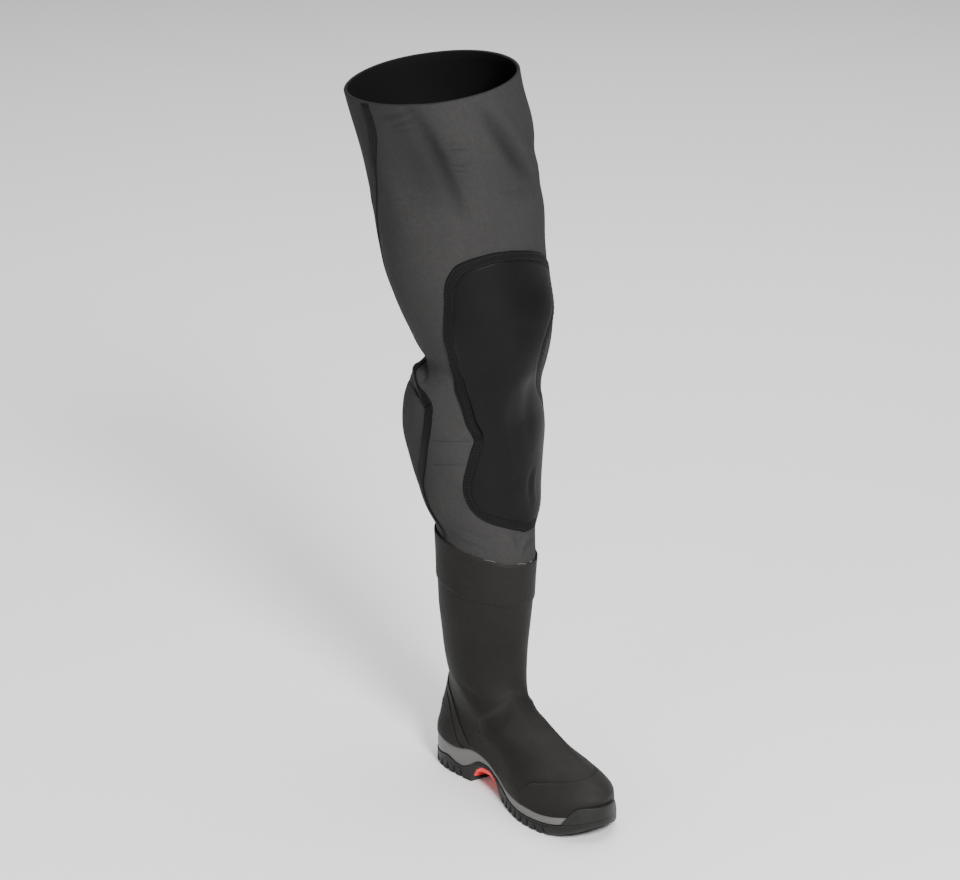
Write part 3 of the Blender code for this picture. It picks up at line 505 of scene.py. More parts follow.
def gridFaces(rows, cols, wrapRows=False, wrapCols=False):
    # four corners of each cell of a grid, going round where it wraps
    r = np.arange(rows if wrapRows else rows - 1)
    c = np.arange(cols if wrapCols else cols - 1)
    r, c = np.meshgrid(r, c, indexing="ij")
    r2 = (r + 1) % rows
    c2 = (c + 1) % cols
    return np.stack([r * cols + c, r * cols + c2, r2 * cols + c2, r2 * cols + c], -1).reshape(-1, 4)


def addPiece(name, grid, material, replaced=None, sharp=60, wearAndPaintedLight=0.0, run=None):
    # a mesh from points and faces, turned outwards by the sign of its volume;
    # the field of wear and painted light and the field run are read by the materials
    points = np.asarray(grid[0], float).reshape(-1, 3)
    quads = grid[1]
    a, b, c, d = (points[quads[:, k]] for k in range(4))
    volume = np.sum(a * np.cross(b, c)) + np.sum(a * np.cross(c, d))
    if volume < 0:
        quads = quads[:, ::-1]
    quads = np.ascontiguousarray(quads, dtype=np.int32)
    mesh = bpy.data.meshes.new(name)
    mesh.vertices.add(len(points))
    mesh.vertices.foreach_set("co", np.ascontiguousarray(points, dtype=np.float32).ravel())
    mesh.loops.add(quads.size)
    mesh.loops.foreach_set("vertex_index", quads.ravel())
    mesh.polygons.add(len(quads))
    mesh.polygons.foreach_set("loop_start", np.arange(0, quads.size, 4, dtype=np.int32))
    mesh.update(calc_edges=True)
    mesh.validate()
    mesh.shade_smooth()
    mesh.set_sharp_from_angle(angle=np.radians(sharp))
    for label, values in (("wearAndPaintedLight", wearAndPaintedLight), ("run", run)):
        if values is not None:
            layer = mesh.attributes.new(label, "FLOAT", "POINT")
            values = np.broadcast_to(np.ravel(values), len(points))
            layer.data.foreach_set("value", np.ascontiguousarray(values, dtype=np.float32))
    mesh.materials.append(material)
    piece = bpy.data.objects.new(name, mesh)
    bpy.context.scene.collection.objects.link(piece)
    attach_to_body(piece, "root")
    if replaced:
        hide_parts(replaced)
    return piece


def ringGrid(rings):
    # closed loop of rings, each of the same number of points
    rings = np.asarray(rings)
    return rings.reshape(-1, 3), gridFaces(rings.shape[0], rings.shape[1], True, True)


def endedGrid(sections):
    # sections stacked or set along a bar; both ends are closed by rungs from side to side
    sections = np.asarray(sections)
    count, around = sections.shape[:2]
    sides = gridFaces(count, around, False, True)
    j = np.arange(around // 2 - 1)
    rung = np.stack([j, j + 1, around - 2 - j, around - 1 - j], -1)
    return sections.reshape(-1, 3), np.concatenate([sides, rung[:, ::-1], rung + (count - 1) * around])


def overlayGrid(place, turn, height, outside):
    # layer on a surface, its hidden side sunk a little; outside may vary over the grid
    hidden = place(turn, height, -form["sunk"])
    shown = place(turn, height, outside)
    rows, cols = turn.shape
    faces = gridFaces(rows, cols)
    edge = np.concatenate([
        np.arange(cols),
        np.arange(1, rows) * cols + cols - 1,
        (rows - 1) * cols + np.arange(cols - 2, -1, -1),
        np.arange(rows - 2, 0, -1) * cols])
    after = np.roll(edge, -1)
    rim = np.stack([edge, after, after + rows * cols, edge + rows * cols], -1)
    points = np.concatenate([hidden.reshape(-1, 3), shown.reshape(-1, 3)])
    return points, np.concatenate([faces[:, ::-1], faces + rows * cols, rim])


def overlayWearAndPaintedLight(lines):
    # none on the hidden side, the given lines of wear and painted light on the shown one
    return np.concatenate([np.zeros(lines.size), lines.ravel()])


def joinParts(parts):
    # several grids as one, each part's faces counted on from the points before it
    starts = np.cumsum([0] + [len(points) for points, quads in parts])
    quads = [quads + start for (points, quads), start in zip(parts, starts)]
    return np.concatenate([points for points, quads in parts]), np.concatenate(quads)


class Link:
    # a socket or value with arithmetic; each operator adds one Math node

    def __init__(self, tree, value):
        self.tree = tree
        self.value = value.value if isinstance(value, Link) else value

    def make(self, kind, settings=None, inputs=None, output=0):
        node = self.tree.nodes.new(kind)
        for key, setting in (settings or {}).items():
            setattr(node, key, setting)
        for key, value in (inputs or {}).items():
            if isinstance(value, Link):
                value = value.value
            if isinstance(value, bpy.types.NodeSocket):
                self.tree.links.new(value, node.inputs[key])
            else:
                node.inputs[key].default_value = value
        return Link(self.tree, node.outputs[output])

    def maths(self, operation, first, second=0.0):
        return self.make("ShaderNodeMath", {"operation": operation}, {0: first, 1: second})

    def __add__(self, other):
        return self.maths("ADD", self, other)

    def __radd__(self, other):
        return self.maths("ADD", other, self)

    def __sub__(self, other):
        return self.maths("SUBTRACT", self, other)

    def __rsub__(self, other):
        return self.maths("SUBTRACT", other, self)

    def __mul__(self, other):
        return self.maths("MULTIPLY", self, other)

    def __rmul__(self, other):
        return self.maths("MULTIPLY", other, self)

    def limited(self):
        return self.make("ShaderNodeClamp", None, {"Value": self})


def newMaterial(name):
    # an empty material with its shader, a start for links and the object's coordinates
    made = bpy.data.materials.new(name)
    made.use_nodes = True
    tree = made.node_tree
    shader = tree.nodes["Principled BSDF"]
    start = Link(tree, None)
    place = start.make("ShaderNodeTexCoord", None, None, "Object")
    return made, tree, shader, start, place


def mixColour(start, factor, first, second):
    # Mix node on colours; each may be a plain triple or a link
    def full(colour):
        return colour if isinstance(colour, Link) else (*colour, 1.0)
    return start.make("ShaderNodeMix", {"data_type": "RGBA"}, {0: factor, 6: full(first), 7: full(second)}, 2)


def noise(start, place, scale, detail=2.0, rough=0.5):
    # noise between 0 and 1
    return start.make("ShaderNodeTexNoise", None,
                      {"Vector": place, "Scale": scale, "Detail": detail, "Roughness": rough}, "Fac")


def stretched(start, place, scale):
    # coordinates times a scale for each axis
    return start.make("ShaderNodeMapping", None, {"Vector": place, "Scale": scale})


def remap(start, value, low, high, first, second):
    # first at low, second at high, straight between them and level beyond
    return start.make("ShaderNodeMapRange", None,
                      {"Value": value, "From Min": low, "From Max": high, "To Min": first, "To Max": second})


def attribute(start, name):
    # a field of the piece
    return start.make("ShaderNodeAttribute", {"attribute_name": name}, None, "Fac")


def attach(tree, shader, colour=None, roughness=None, height=None, strength=0.3, distance=0.0005):
    # link what is given to the shader, the height by way of a bump
    if colour is not None:
        tree.links.new(colour.value, shader.inputs["Base Color"])
    if roughness is not None:
        tree.links.new(roughness.value, shader.inputs["Roughness"])
    if height is not None:
        bump = Link(tree, None).make("ShaderNodeBump", None,
                                     {"Height": height, "Strength": strength, "Distance": distance})
        tree.links.new(bump.value, shader.inputs["Normal"])


# noise scales per metre that all rubbers or all cloths share
rubberScales = {"bloom": 9.0, "drift": 26.0, "scuff": 60.0}
clothScales = {"heather": 420.0, "slow": 7.0, "rows": 300.0}


def rubberMaterial(name, look):
    # matte moulded rubber: fine grain, slow bloom; the piece's field mixes in dust and painted highlight
    # where it is high and painted shade where it is below zero
    made, tree, shader, start, place = newMaterial(name)
    grain = noise(start, place, look["grain"], 3.0, 0.6)
    pebble = noise(start, place, 0.42 * look["grain"], 2.0, 0.55)
    bloom = noise(start, place, rubberScales["bloom"], 4.0, 0.55)
    drift = noise(start, stretched(start, place, (1.0, 1.0, 0.35)), rubberScales["drift"], 3.0, 0.5)
    scuff = noise(start, stretched(start, place, (0.5, 1.0, 3.0)), rubberScales["scuff"], 4.0, 0.65)
    mottled = remap(start, bloom, 0.35, 0.70, 0.0, 1.0)
    colour = mixColour(start, mottled * 0.8, look["colour"], look["bloom"])
    scuffAndCreaseShading = remap(start, scuff * 0.7 + drift * 0.3, 0.56, 0.74, 0.0, look["scuff"])
    colour = mixColour(start, scuffAndCreaseShading, colour, look["wornAndHighlight"])
    wearAndPaintedLight = attribute(start, "wearAndPaintedLight")
    # dust, and painted highlight on the toe, crease ridges and edges, where the field is above zero
    dustAndHighlight = wearAndPaintedLight * remap(start, drift, 0.3, 0.6, 0.35, 1.0)
    colour = mixColour(start, dustAndHighlight.limited(), colour, look["wornAndHighlight"])
    # painted shade in creases, grooves and along edges, where the field is below zero
    colour = mixColour(start, (0 - wearAndPaintedLight).limited(), colour, look["paintedShade"])
    rough = look["roughness"] + (bloom - 0.5) * 0.22 + scuffAndCreaseShading * 0.12 + (pebble - 0.5) * 0.16
    height = grain * 0.5 + pebble * 1.1 + drift * 0.9 + scuff * 0.25
    attach(tree, shader, colour, rough, height, look["bump"], 0.0006)
    shader.inputs["Specular IOR Level"].default_value = look["gloss"]
    return made


def clothMaterial(name, look):
    # knitted face: rows of tiny loops as waves, broken by noise, with slow changes of tone; the piece's field
    # mixes in the lining's colour, both for the lining itself and as painted shade
    made, tree, shader, start, place = newMaterial(name)
    loops = start.make("ShaderNodeTexWave", {"wave_type": "BANDS", "bands_direction": "Z"},
                       {"Vector": place, "Scale": look["loops"], "Distortion": 2.2, "Detail": 2.0,
                        "Detail Scale": 2.0}, "Fac")
    ribs = noise(start, stretched(start, place, (1.0, 1.0, 0.55)), look["grain"], 2.0, 0.6)
    heather = noise(start, stretched(start, place, (1.0, 1.0, 0.6)), clothScales["heather"], 3.0, 0.7)
    slow = noise(start, place, clothScales["slow"], 3.0, 0.5)
    rows = noise(start, stretched(start, place, (0.45, 0.45, 1.0)), clothScales["rows"], 2.0, 0.6)
    shade = remap(start, slow, 0.3, 0.7, 0.0, 1.0)
    colour = mixColour(start, shade * 0.7, look["colour"], look["light"])
    fleck = remap(start, heather * 0.6 + rows * 0.4, 0.38, 0.64, 0.0, 1.0)
    colour = mixColour(start, fleck * look["fleck"], colour, look["dark"])
    wearAndPaintedLight = attribute(start, "wearAndPaintedLight")
    # the lining's colour, which on the leg's outside is painted shade in the troughs and over the thigh
    colour = mixColour(start, wearAndPaintedLight.limited(), colour, look["lining"])
    rough = look["roughness"] + (heather - 0.5) * 0.14
    height = ribs * 0.7 + loops * 0.25 + rows * 0.15 + heather * 0.3
    if "ribPitch" in look:
        # grosgrain: a sine along the strip's run, broken by the noise
        wave = start.maths("SINE", attribute(start, "run") * (2 * np.pi / look["ribPitch"]) + heather * 1.5)
        height = height * 0.5 + wave * 0.55
        colour = mixColour(start, (wave * -0.25 + 0.2).limited(), colour, look["dark"])
    attach(tree, shader, colour, rough, height, look["bump"], 0.0006)
    shader.inputs["Sheen Weight"].default_value = look["sheen"]
    shader.inputs["Sheen Roughness"].default_value = 0.45
    shader.inputs["Specular IOR Level"].default_value = look["gloss"]
    return made


print("materials")
rubberLooks = {
    "boot": {
        "colour": (0.0132, 0.0124, 0.0115), "bloom": (0.0184, 0.0173, 0.0160), "wornAndHighlight": (0.042, 0.040, 0.037),
        "paintedShade": (0.0025, 0.0023, 0.0022), "scuff": 0.12, "roughness": 0.56, "grain": 800.0, "bump": 0.60,
        "gloss": 0.06},
    "sole": {
        "colour": (0.0095, 0.0095, 0.0090), "bloom": (0.0135, 0.0135, 0.0128), "wornAndHighlight": (0.046, 0.045, 0.042),
        "paintedShade": (0.0020, 0.0020, 0.0020), "scuff": 0.22, "roughness": 0.52, "grain": 700.0, "bump": 0.24,
        "gloss": 0.20},
    "band": {
        "colour": (0.098, 0.095, 0.093), "bloom": (0.125, 0.121, 0.118), "wornAndHighlight": (0.165, 0.160, 0.156),
        "paintedShade": (0.028, 0.027, 0.026), "scuff": 0.20, "roughness": 0.46, "grain": 800.0, "bump": 0.14,
        "gloss": 0.30},
    "plate": {
        "colour": (0.92, 0.026, 0.030), "bloom": (0.95, 0.042, 0.044), "wornAndHighlight": (0.90, 0.12, 0.10),
        "paintedShade": (0.28, 0.012, 0.013), "scuff": 0.18, "roughness": 0.36, "grain": 500.0, "bump": 0.10,
        "gloss": 0.40},
    "glue": {
        "colour": (0.09, 0.088, 0.085), "bloom": (0.17, 0.165, 0.16), "wornAndHighlight": (0.16, 0.155, 0.15),
        "paintedShade": (0.02, 0.02, 0.02), "scuff": 0.5, "roughness": 0.40, "grain": 1200.0, "bump": 0.4,
        "gloss": 0.5}}
bootRubber = rubberMaterial("bootRubber", rubberLooks["boot"])
soleRubber = rubberMaterial("soleRubber", rubberLooks["sole"])
bandRubber = rubberMaterial("bandRubber", rubberLooks["band"])
plateRubber = rubberMaterial("plateRubber", rubberLooks["plate"])
glueRubber = rubberMaterial("glueRubber", rubberLooks["glue"])

clothLooks = {
    "neoprene": {
        "colour": (0.0330, 0.0320, 0.0317), "light": (0.0425, 0.0414, 0.0408),
        "dark": (0.0245, 0.0237, 0.0236), "lining": (0.0050, 0.0050, 0.0053), "fleck": 0.45,
        "roughness": 0.80, "loops": 520.0, "grain": 900.0, "bump": 0.30, "sheen": 0.0, "gloss": 0.06},
    "pad": {
        "colour": (0.0044, 0.0040, 0.0041), "light": (0.0062, 0.0056, 0.0056),
        "dark": (0.0027, 0.0025, 0.0026), "lining": (0.004, 0.004, 0.004), "fleck": 0.5, "roughness": 0.50,
        "loops": 460.0, "grain": 1100.0, "bump": 0.24, "sheen": 0.0, "gloss": 0.105},
    "tape": {
        "colour": (0.0056, 0.0054, 0.0054), "light": (0.0076, 0.0073, 0.0072),
        "dark": (0.0036, 0.0036, 0.0036), "lining": (0.001, 0.001, 0.001), "fleck": 0.45, "roughness": 0.60,
        "loops": 700.0, "grain": 1300.0, "bump": 0.34, "sheen": 0.0, "gloss": 0.08, "ribPitch": 0.0021},
    "thread": {
        "colour": (0.0105, 0.0100, 0.0100), "light": (0.0150, 0.0145, 0.0140),
        "dark": (0.0060, 0.0060, 0.0060), "lining": (0.01, 0.01, 0.01), "fleck": 0.4, "roughness": 0.55,
        "loops": 1500.0, "grain": 2600.0, "bump": 0.2, "sheen": 0.03, "gloss": 0.25},
    "insole": {
        "colour": (0.030, 0.030, 0.031), "light": (0.040, 0.040, 0.041),
        "dark": (0.017, 0.017, 0.018), "lining": (0.02, 0.02, 0.02), "fleck": 0.6, "roughness": 0.88,
        "loops": 300.0, "grain": 700.0, "bump": 0.4, "sheen": 0.1, "gloss": 0.15}}
neopreneCloth = clothMaterial("neopreneCloth", clothLooks["neoprene"])
padCloth = clothMaterial("padCloth", clothLooks["pad"])
tapeCloth = clothMaterial("tapeCloth", clothLooks["tape"])
threadCloth = clothMaterial("threadCloth", clothLooks["thread"])
insoleCloth = clothMaterial("insoleCloth", clothLooks["insole"])

print("sole")
tread = {
    "pitch": 0.013,
    "grooveWidth": 0.004,
    "grooveDepth": 0.004,
    "heelGrooves": 5,
    "forefootGrooves": 8,
    "notchDepth": 0.0034,
    "notchTop": 0.0100,
    "edgeRound": 0.0012,
    "swell": 0.0010,
    "swellAt": 0.0040,
    "line": 0.0007,
    "lineDrop": 0.0022,
    "arrow": 0.0035,
    "sipe": 0.0011,
    "middleSipe": 0.0016,
    "dustHeight": 0.012,
    "stations": 560}


def grooveRow(count, before):
    # grooves at an even pitch, with so many before the middle
    return (np.arange(count) - before) * tread["pitch"]


grooveMiddles = np.concatenate([
    grooveRow(tread["heelGrooves"], tread["heelGrooves"] / 2),
    forefootRest + grooveRow(tread["forefootGrooves"], (tread["forefootGrooves"] - 1) / 2)])


def grooveAway(x):
    # distance to the nearest groove's middle
    return np.min(np.abs(np.asarray(x)[..., None] - grooveMiddles), axis=-1)


def grooveShare(x):
    # 1 inside a groove between lugs and 0 on a lug, with short slopes
    return np.clip((tread["grooveWidth"] / 2 - grooveAway(x)) / (0.22 * tread["grooveWidth"]) + 0.5, 0, 1)


def underside(share):
    # straight lines between the rows
    xs, ys = np.array(underRows).T
    return np.interp(share, xs, ys) * soleHeight


def soleBorders(shares, inset=0.0):
    # x at each share of the length, with the medial and the lateral edge in y
    turns = np.arccos(2 * shares - 1)
    return shares * soleLength - heelBack, soleEdge(-turns, inset)[:, 1], soleEdge(turns, inset)[:, 1]


# the outsole as cross sections: side with notches, bottom with grooves and a middle channel, flat top
shares = (1 - np.cos(np.linspace(0.03, np.pi - 0.03, tread["stations"]))) / 2
shares = 0.55 * shares + 0.45 * np.linspace(shares[0], shares[-1], len(shares))
x, medial, lateral = soleBorders(shares)
low = underside(shares)
high = bandBottom(x) - 0.8 * gap
flat = ease(shares, 0.005, 0.05) * (1 - ease(shares, 0.93, 0.995))
edge = np.minimum(tread["edgeRound"], 0.2 * (lateral - medial))
away = grooveAway(x)


def soleSide(sign, rise):
    # side wall: rise 0 at the bottom edge, 1 at the band; each notch is a V with a round top,
    # whose half width shrinks from the floor up to notchTop
    z = low + edge + (high - low - edge) * rise
    above = z - low
    half = 0.85 * tread["grooveWidth"] * np.sqrt(np.clip(1 - above / tread["notchTop"], 0, 1)) + 1e-5
    notch = np.clip(1.15 - away / half, 0, 1) ** 0.6 * (above < tread["notchTop"])
    swell = tread["swell"] * bell(above - tread["swellAt"], tread["swellAt"]) * (1 - notch) * flat
    swell = swell * (away < tread["pitch"])
    line = tread["line"] * bell(z - high + tread["lineDrop"], 0.0005)
    cut = np.maximum(tread["notchDepth"] * notch * flat - swell + line, 0.0)
    return np.stack([x, (lateral if sign > 0 else medial) - sign * cut, z], -1)


def soleBottom(across):
    # bottom: across -1 at the medial edge and 1 at the lateral edge
    reach = np.abs(across)
    y = (lateral + medial) / 2 + ((lateral - medial) / 2 - edge) * across
    bent = grooveShare(x + tread["arrow"] * (1 - reach) ** 2)
    z = low + tread["grooveDepth"] * bent * (0.45 + 0.55 * ease(reach, 0.06, 0.16)) * flat
    lug = 1 - bent
    sipe = tread["sipe"] * bell(reach - 0.55, 0.035) * lug
    sipe = sipe + tread["middleSipe"] * bell(reach - 0.12, 0.03) * lug
    resting = (shares < 0.314) | ((shares > 0.55) & (shares < 0.83))
    z = z + np.where(resting, sipe, 0.4 * sipe) * flat
    cut = tread["notchDepth"] * grooveShare(x) * flat * ease(reach, 0.94, 1.0)
    return np.stack([x, y - np.sign(across) * cut, z], -1)


sideRows = np.linspace(0, 1, 12)
columns = [soleSide(-1, rise) for rise in sideRows[::-1]]
columns += [soleBottom(across) for across in np.linspace(-1, 1, 41)]
columns += [soleSide(1, rise) for rise in sideRows]
columns.append(np.stack([x, lateral * 0.5 + medial * 0.5, high], -1))
sections = np.stack(columns, axis=1)
above = np.clip((sections[..., 2] - low[:, None]) / tread["dustHeight"], 0, 1)
addPiece("outsoleTread", endedGrid(sections), soleRubber, "outsole", 38,
         0.42 * (1 - ease(above, 0.0, 0.35)) + 0.05)

# red plate under the arch, ribbed across
plate = {"first": 0.328, "last": 0.478, "inset": 0.0015, "thickness": 0.0065, "ribs": 13, "ribDepth": 0.0007,
         "corner": 0.0012, "hollow": 0.0022}
shares = np.linspace(plate["first"], plate["last"], 160)
x, medial, lateral = soleBorders(shares, plate["inset"])
high = underside(shares) - 0.6 * gap
run = (shares - plate["first"]) / (plate["last"] - plate["first"])
thick = plate["thickness"] * (0.35 + 0.65 * np.sin(np.pi * run) ** 0.5)
rib = plate["ribDepth"] * (0.5 - 0.5 * np.cos(2 * np.pi * plate["ribs"] * run)) * np.sin(np.pi * run) ** 0.4
low = high - thick + rib


def plateSide(edgeLine, rise):
    # side wall: rise 0 at the lower corner, 1 at the arch
    return np.stack([x, edgeLine, low + plate["corner"] + (high - low - plate["corner"]) * rise], -1)


def plateBottom(across):
    # bottom, hollow by 1 - across squared and rounded at both corners by a quarter circle
    corner = plate["corner"] * (1 - quarterRound((1 - abs(across)) / 0.07))
    hollow = plate["hollow"] * (1 - across * across) * np.sin(np.pi * run)
    y = (lateral + medial) / 2 + (lateral - medial) / 2 * across
    return np.stack([x, y - np.sign(across) * 0.4 * rib * (abs(across) > 0.9), low + corner + hollow], -1)


columns = [plateSide(medial + 0.6 * rib, rise) for rise in (1.0, 0.7, 0.35)]
columns += [plateBottom(across) for across in np.linspace(-1, 1, 23)]
columns += [plateSide(lateral - 0.6 * rib, rise) for rise in (0.35, 0.7, 1.0)]
columns.append(np.stack([x, (lateral + medial) / 2, high], -1))
addPiece("archPlate", endedGrid(np.stack(columns, axis=1)), plateRubber, "arch_insert", 40)

# grey band: closed ring of the sole's edge with softened borders, and the footbed inside it
band = {"turns": 720, "rim": 0.0070, "bevel": 0.0008, "bedDepth": 0.003, "bulge": 0.0005, "line": 0.0006}
bedEdge = band["rim"] + band["bevel"]


def sideTurns(skip, count):
    # turns along the medial and then the lateral side, without the very tips of heel and toe
    half = np.linspace(skip, np.pi - skip, count)
    return np.concatenate([-half[::-1], half])


def bedHeight(x, top):
    # the footbed lies bedDepth under the band's top, or less where the band is low
    return top - np.minimum(band["bedDepth"], 0.45 * (top - bandBottom(x)))


turns = sideTurns(0.03, band["turns"] // 2)
edgeInset = bandInset(soleEdge(turns)[:, 0])
profile = [(0.0010, 0.0), (0.0003, 0.025), (0.0, 0.08)]
profile += [(-band["bulge"] * np.sin(np.pi * k) * 0.5, 0.08 + 0.80 * k) for k in np.linspace(0.1, 1, 8)]
profile += [(0.0003, 0.95), (0.0009, 1.0), (0.0020, 1.0), (band["rim"], 1.0)]
rings = []
wearAndPaintedLight = []
for inset, rise in profile:
    x = soleEdge(turns, edgeInset + inset)[:, 0]
    top = bandTop(x) - 0.5 * gap
    bottom = bandBottom(x) + 0.2 * gap
    # a shallow moulded line that runs forwards from the heel
    share = shareOf(x)
    lineRise = 0.80 - 0.42 * ease(share, 0.09, 0.21)
    groove = bell(rise - lineRise, 0.05) * ease(share, 0.10, 0.14) * (1 - ease(share, 0.19, 0.22))
    ring = soleEdge(turns, edgeInset + inset + band["line"] * groove)
    rings.append(np.column_stack([ring, bottom + (top - bottom) * rise]))
    wearAndPaintedLight.append(0.75 * groove + 0.55 * (rise < 0.04) + 0.45 * (rise > 0.96))
ring = soleEdge(turns, edgeInset + bedEdge)
rings.append(np.column_stack([ring, bedHeight(ring[:, 0], bandTop(ring[:, 0]) - 0.5 * gap)]))
wearAndPaintedLight.append(np.zeros(len(turns)))
addPiece("midsoleBand", endedGrid(rings), bandRubber, "midsole", 44, wearAndPaintedLight)

# toe bumper: a wall along the toe with fine slanted ribs on its sides
bumper = {"draft": 0.0010, "ribDepth": 0.0007, "start": 0.912, "roundFrom": 0.85}
# share of the length, top in sole heights
bumperRows = [
    (0.908, 0.50),
    (0.928, 0.72),
    (0.943, 0.90),
    (0.962, 1.03),
    (0.980, 1.07),
    (1.000, 1.07)]
limit = np.arccos(2 * bumper["start"] - 1)
turns = limit * np.linspace(-1, 1, 420)
share = (1 + np.cos(turns)) / 2
x = share * soleLength - heelBack
low = bandBottom(x) + 0.3 * gap
high = smoothTable(bumperRows, share)[0] * soleHeight
high = low + (high - low) * (1 - 0.10 * ease(np.sin(turns), 0.0, 0.35))
inner = bandInset(x) - 0.6 * gap
columns = []
for rise in np.linspace(0, 1, 16):
    # the face leans in evenly, then curves over towards its top
    first = bumper["roundFrom"]
    body = 0.4 * rise / first if rise < first else 0.4 + 0.6 * ((rise - first) / (1 - first)) ** 2
    slant = (np.abs(turns / limit) - 0.62 - 0.22 * (rise - 0.5)) / 0.20
    window = ease(slant, 0.0, 0.25) * (1 - ease(slant, 0.75, 1.0))
    window = window * ease(rise, 0.2, 0.4) * (1 - ease(rise, 0.62, 0.8))
    ribs = bumper["ribDepth"] * (0.5 + 0.5 * np.sin(2 * np.pi * (rise * 5 + slant * 0.6))) * window
    face = soleEdge(turns, bumper["draft"] * body + ribs)
    columns.append(np.column_stack([face, low + (high - low) * rise]))
for inset, drop in ((0.5, 0.0), (1.0, 0.0), (1.0, 0.5), (1.0, 1.0)):
    edgeIn = bumper["draft"] + (inner - bumper["draft"]) * inset
    columns.append(np.column_stack([soleEdge(turns, edgeIn), high - (high - low) * drop]))
sections = np.stack(columns, axis=1)
rise = (sections[..., 2] - low[:, None]) / np.maximum(high - low, 1e-4)[:, None]
addPiece("toeBumper", endedGrid(sections), soleRubber, "toe_bumper", 40,
         0.10 + 0.25 * bell(rise - 1, 0.06))

# insole: foam laid in the footbed, with a rounded upper edge
insole = {"thickness": 0.004}
turns = sideTurns(0.04, 160)
edgeInset = bandInset(soleEdge(turns)[:, 0]) + bedEdge + 2 * gap
rings = []
for inset, rise in ((0.0, 0.0), (0.0, 0.7), (0.0004, 0.9), (0.0012, 1.0), (0.004, 1.0)):
    ring = soleEdge(turns, edgeInset + inset)
    low = bedHeight(ring[:, 0], bandTop(ring[:, 0]) - gap) + gap
    rings.append(np.column_stack([ring, low + insole["thickness"] * rise]))
addPiece("insoleFoam", endedGrid(rings), insoleCloth, "insole")

print("boot")
boot = {"turns": 260, "innerRows": 44, "bottom": 0.1123, "top": 0.94, "creaseShadingHeight": 0.0009}


def bootLevel(share, turn):
    # height at a share of the boot, bent so that the top follows the cuff
    top = cuffTop(turn) - form["collarStep"]
    return share * bootHeight + (top - boot["top"] * bootHeight) * ease(share, 0.70, boot["top"])


def toePaintedHighlight(turn, level):
    # a painted highlight on the toe and the instep, which face the light from above, fainter up the boot
    share = level / bootHeight
    return 0.30 * ease(np.cos(turn), 0.2, 0.95) * (1 - ease(share, 0.20, 0.46)) * ease(share, 0.12, 0.18)


outer = np.concatenate([
    [boot["bottom"]], np.linspace(0.1126, 0.40, 110)[1:], np.linspace(0.40, boot["top"], 82)[1:]])
turn, share = np.meshgrid(roundTurns(boot["turns"]), outer)
level = bootLevel(share, turn)
outside = bootPoint(turn, level, 0.0)
turnIn, shareIn = np.meshgrid(turn[0], np.linspace(boot["top"], boot["bottom"], boot["innerRows"]))
inside = bootPoint(turnIn, bootLevel(shareIn, turnIn), -form["upperWall"])
# a paler band at the bottom, a painted highlight on the toe and instep, a painted highlight on the creases'
# ridges and painted shade in their troughs
scuffAndCreaseShading = np.clip(creaseField(bootFolds, np.degrees(turn), level, bootHeight) / boot["creaseShadingHeight"], -0.5, 0.8)
wearAndPaintedLight = 0.35 * bell(share - boot["bottom"], 0.012) + toePaintedHighlight(turn, level) + 0.22 * scuffAndCreaseShading
wearAndPaintedLight = np.concatenate([wearAndPaintedLight, np.zeros(turnIn.shape)])
addPiece("bootShell", ringGrid(np.concatenate([outside, inside])), bootRubber, "boot_upper",
         60, wearAndPaintedLight)

# heel counter: two strips that rise from the sole round the heel, with a groove between them;
# degrees from the heel, groove and top edge in boot heights
counterRows = [
    (0.0, 0.280, 0.317),
    (15.0, 0.275, 0.310),
    (33.0, 0.256, 0.290),
    (48.0, 0.217, 0.259),
    (54.5, 0.173, 0.230),
    (60.0, 0.132, 0.196),
    (68.0, 0.100, 0.128)]
counter = {"reach": 67.2, "thickness": 0.0010, "groove": 0.0011, "step": 0.0009, "edge": 0.0016,
           "low": 0.1128, "cols": 240, "rows": 80}
path = np.linspace(-1, 1, counter["cols"])
groove, top = smoothTable(counterRows, np.abs(counter["reach"] * path))
top = np.maximum(top, counterRows[-1][2]) * bootHeight
groove = np.maximum(groove, boot["bottom"]) * bootHeight
low = counter["low"] * bootHeight
rise = np.linspace(0, 1, counter["rows"])[:, None]
turn = signedTurn(np.pi + np.radians(counter["reach"]) * path + 0 * rise)
level = low + (top - low) * rise
fromTop = top - level
soft = quarterRound(fromTop / counter["edge"]) * np.clip((1 - np.abs(path)) / 0.02, 0, 1)
cut = counter["groove"] * bell(level - groove, 0.0011)
heelStep = counter["step"] * (1 - ease(level, 0.212 * bootHeight, 0.222 * bootHeight))
heelStep = heelStep * bell(path * counter["reach"], 34.0)
out = gap + (counter["thickness"] - cut + heelStep) * soft
# a slightly paler tone over all, a painted highlight along the rim, painted shade in the groove and along the
# border
lines = 0.14 + 0.30 * bell(fromTop - 0.0013, 0.0007)
lines = lines - 0.85 * bell(level - groove, 0.0009) - 0.9 * bell(fromTop, 0.0006)
addPiece("heelCounter", overlayGrid(bootPoint, turn, level, out), bootRubber,
         "heel_counter", 60, overlayWearAndPaintedLight(lines))

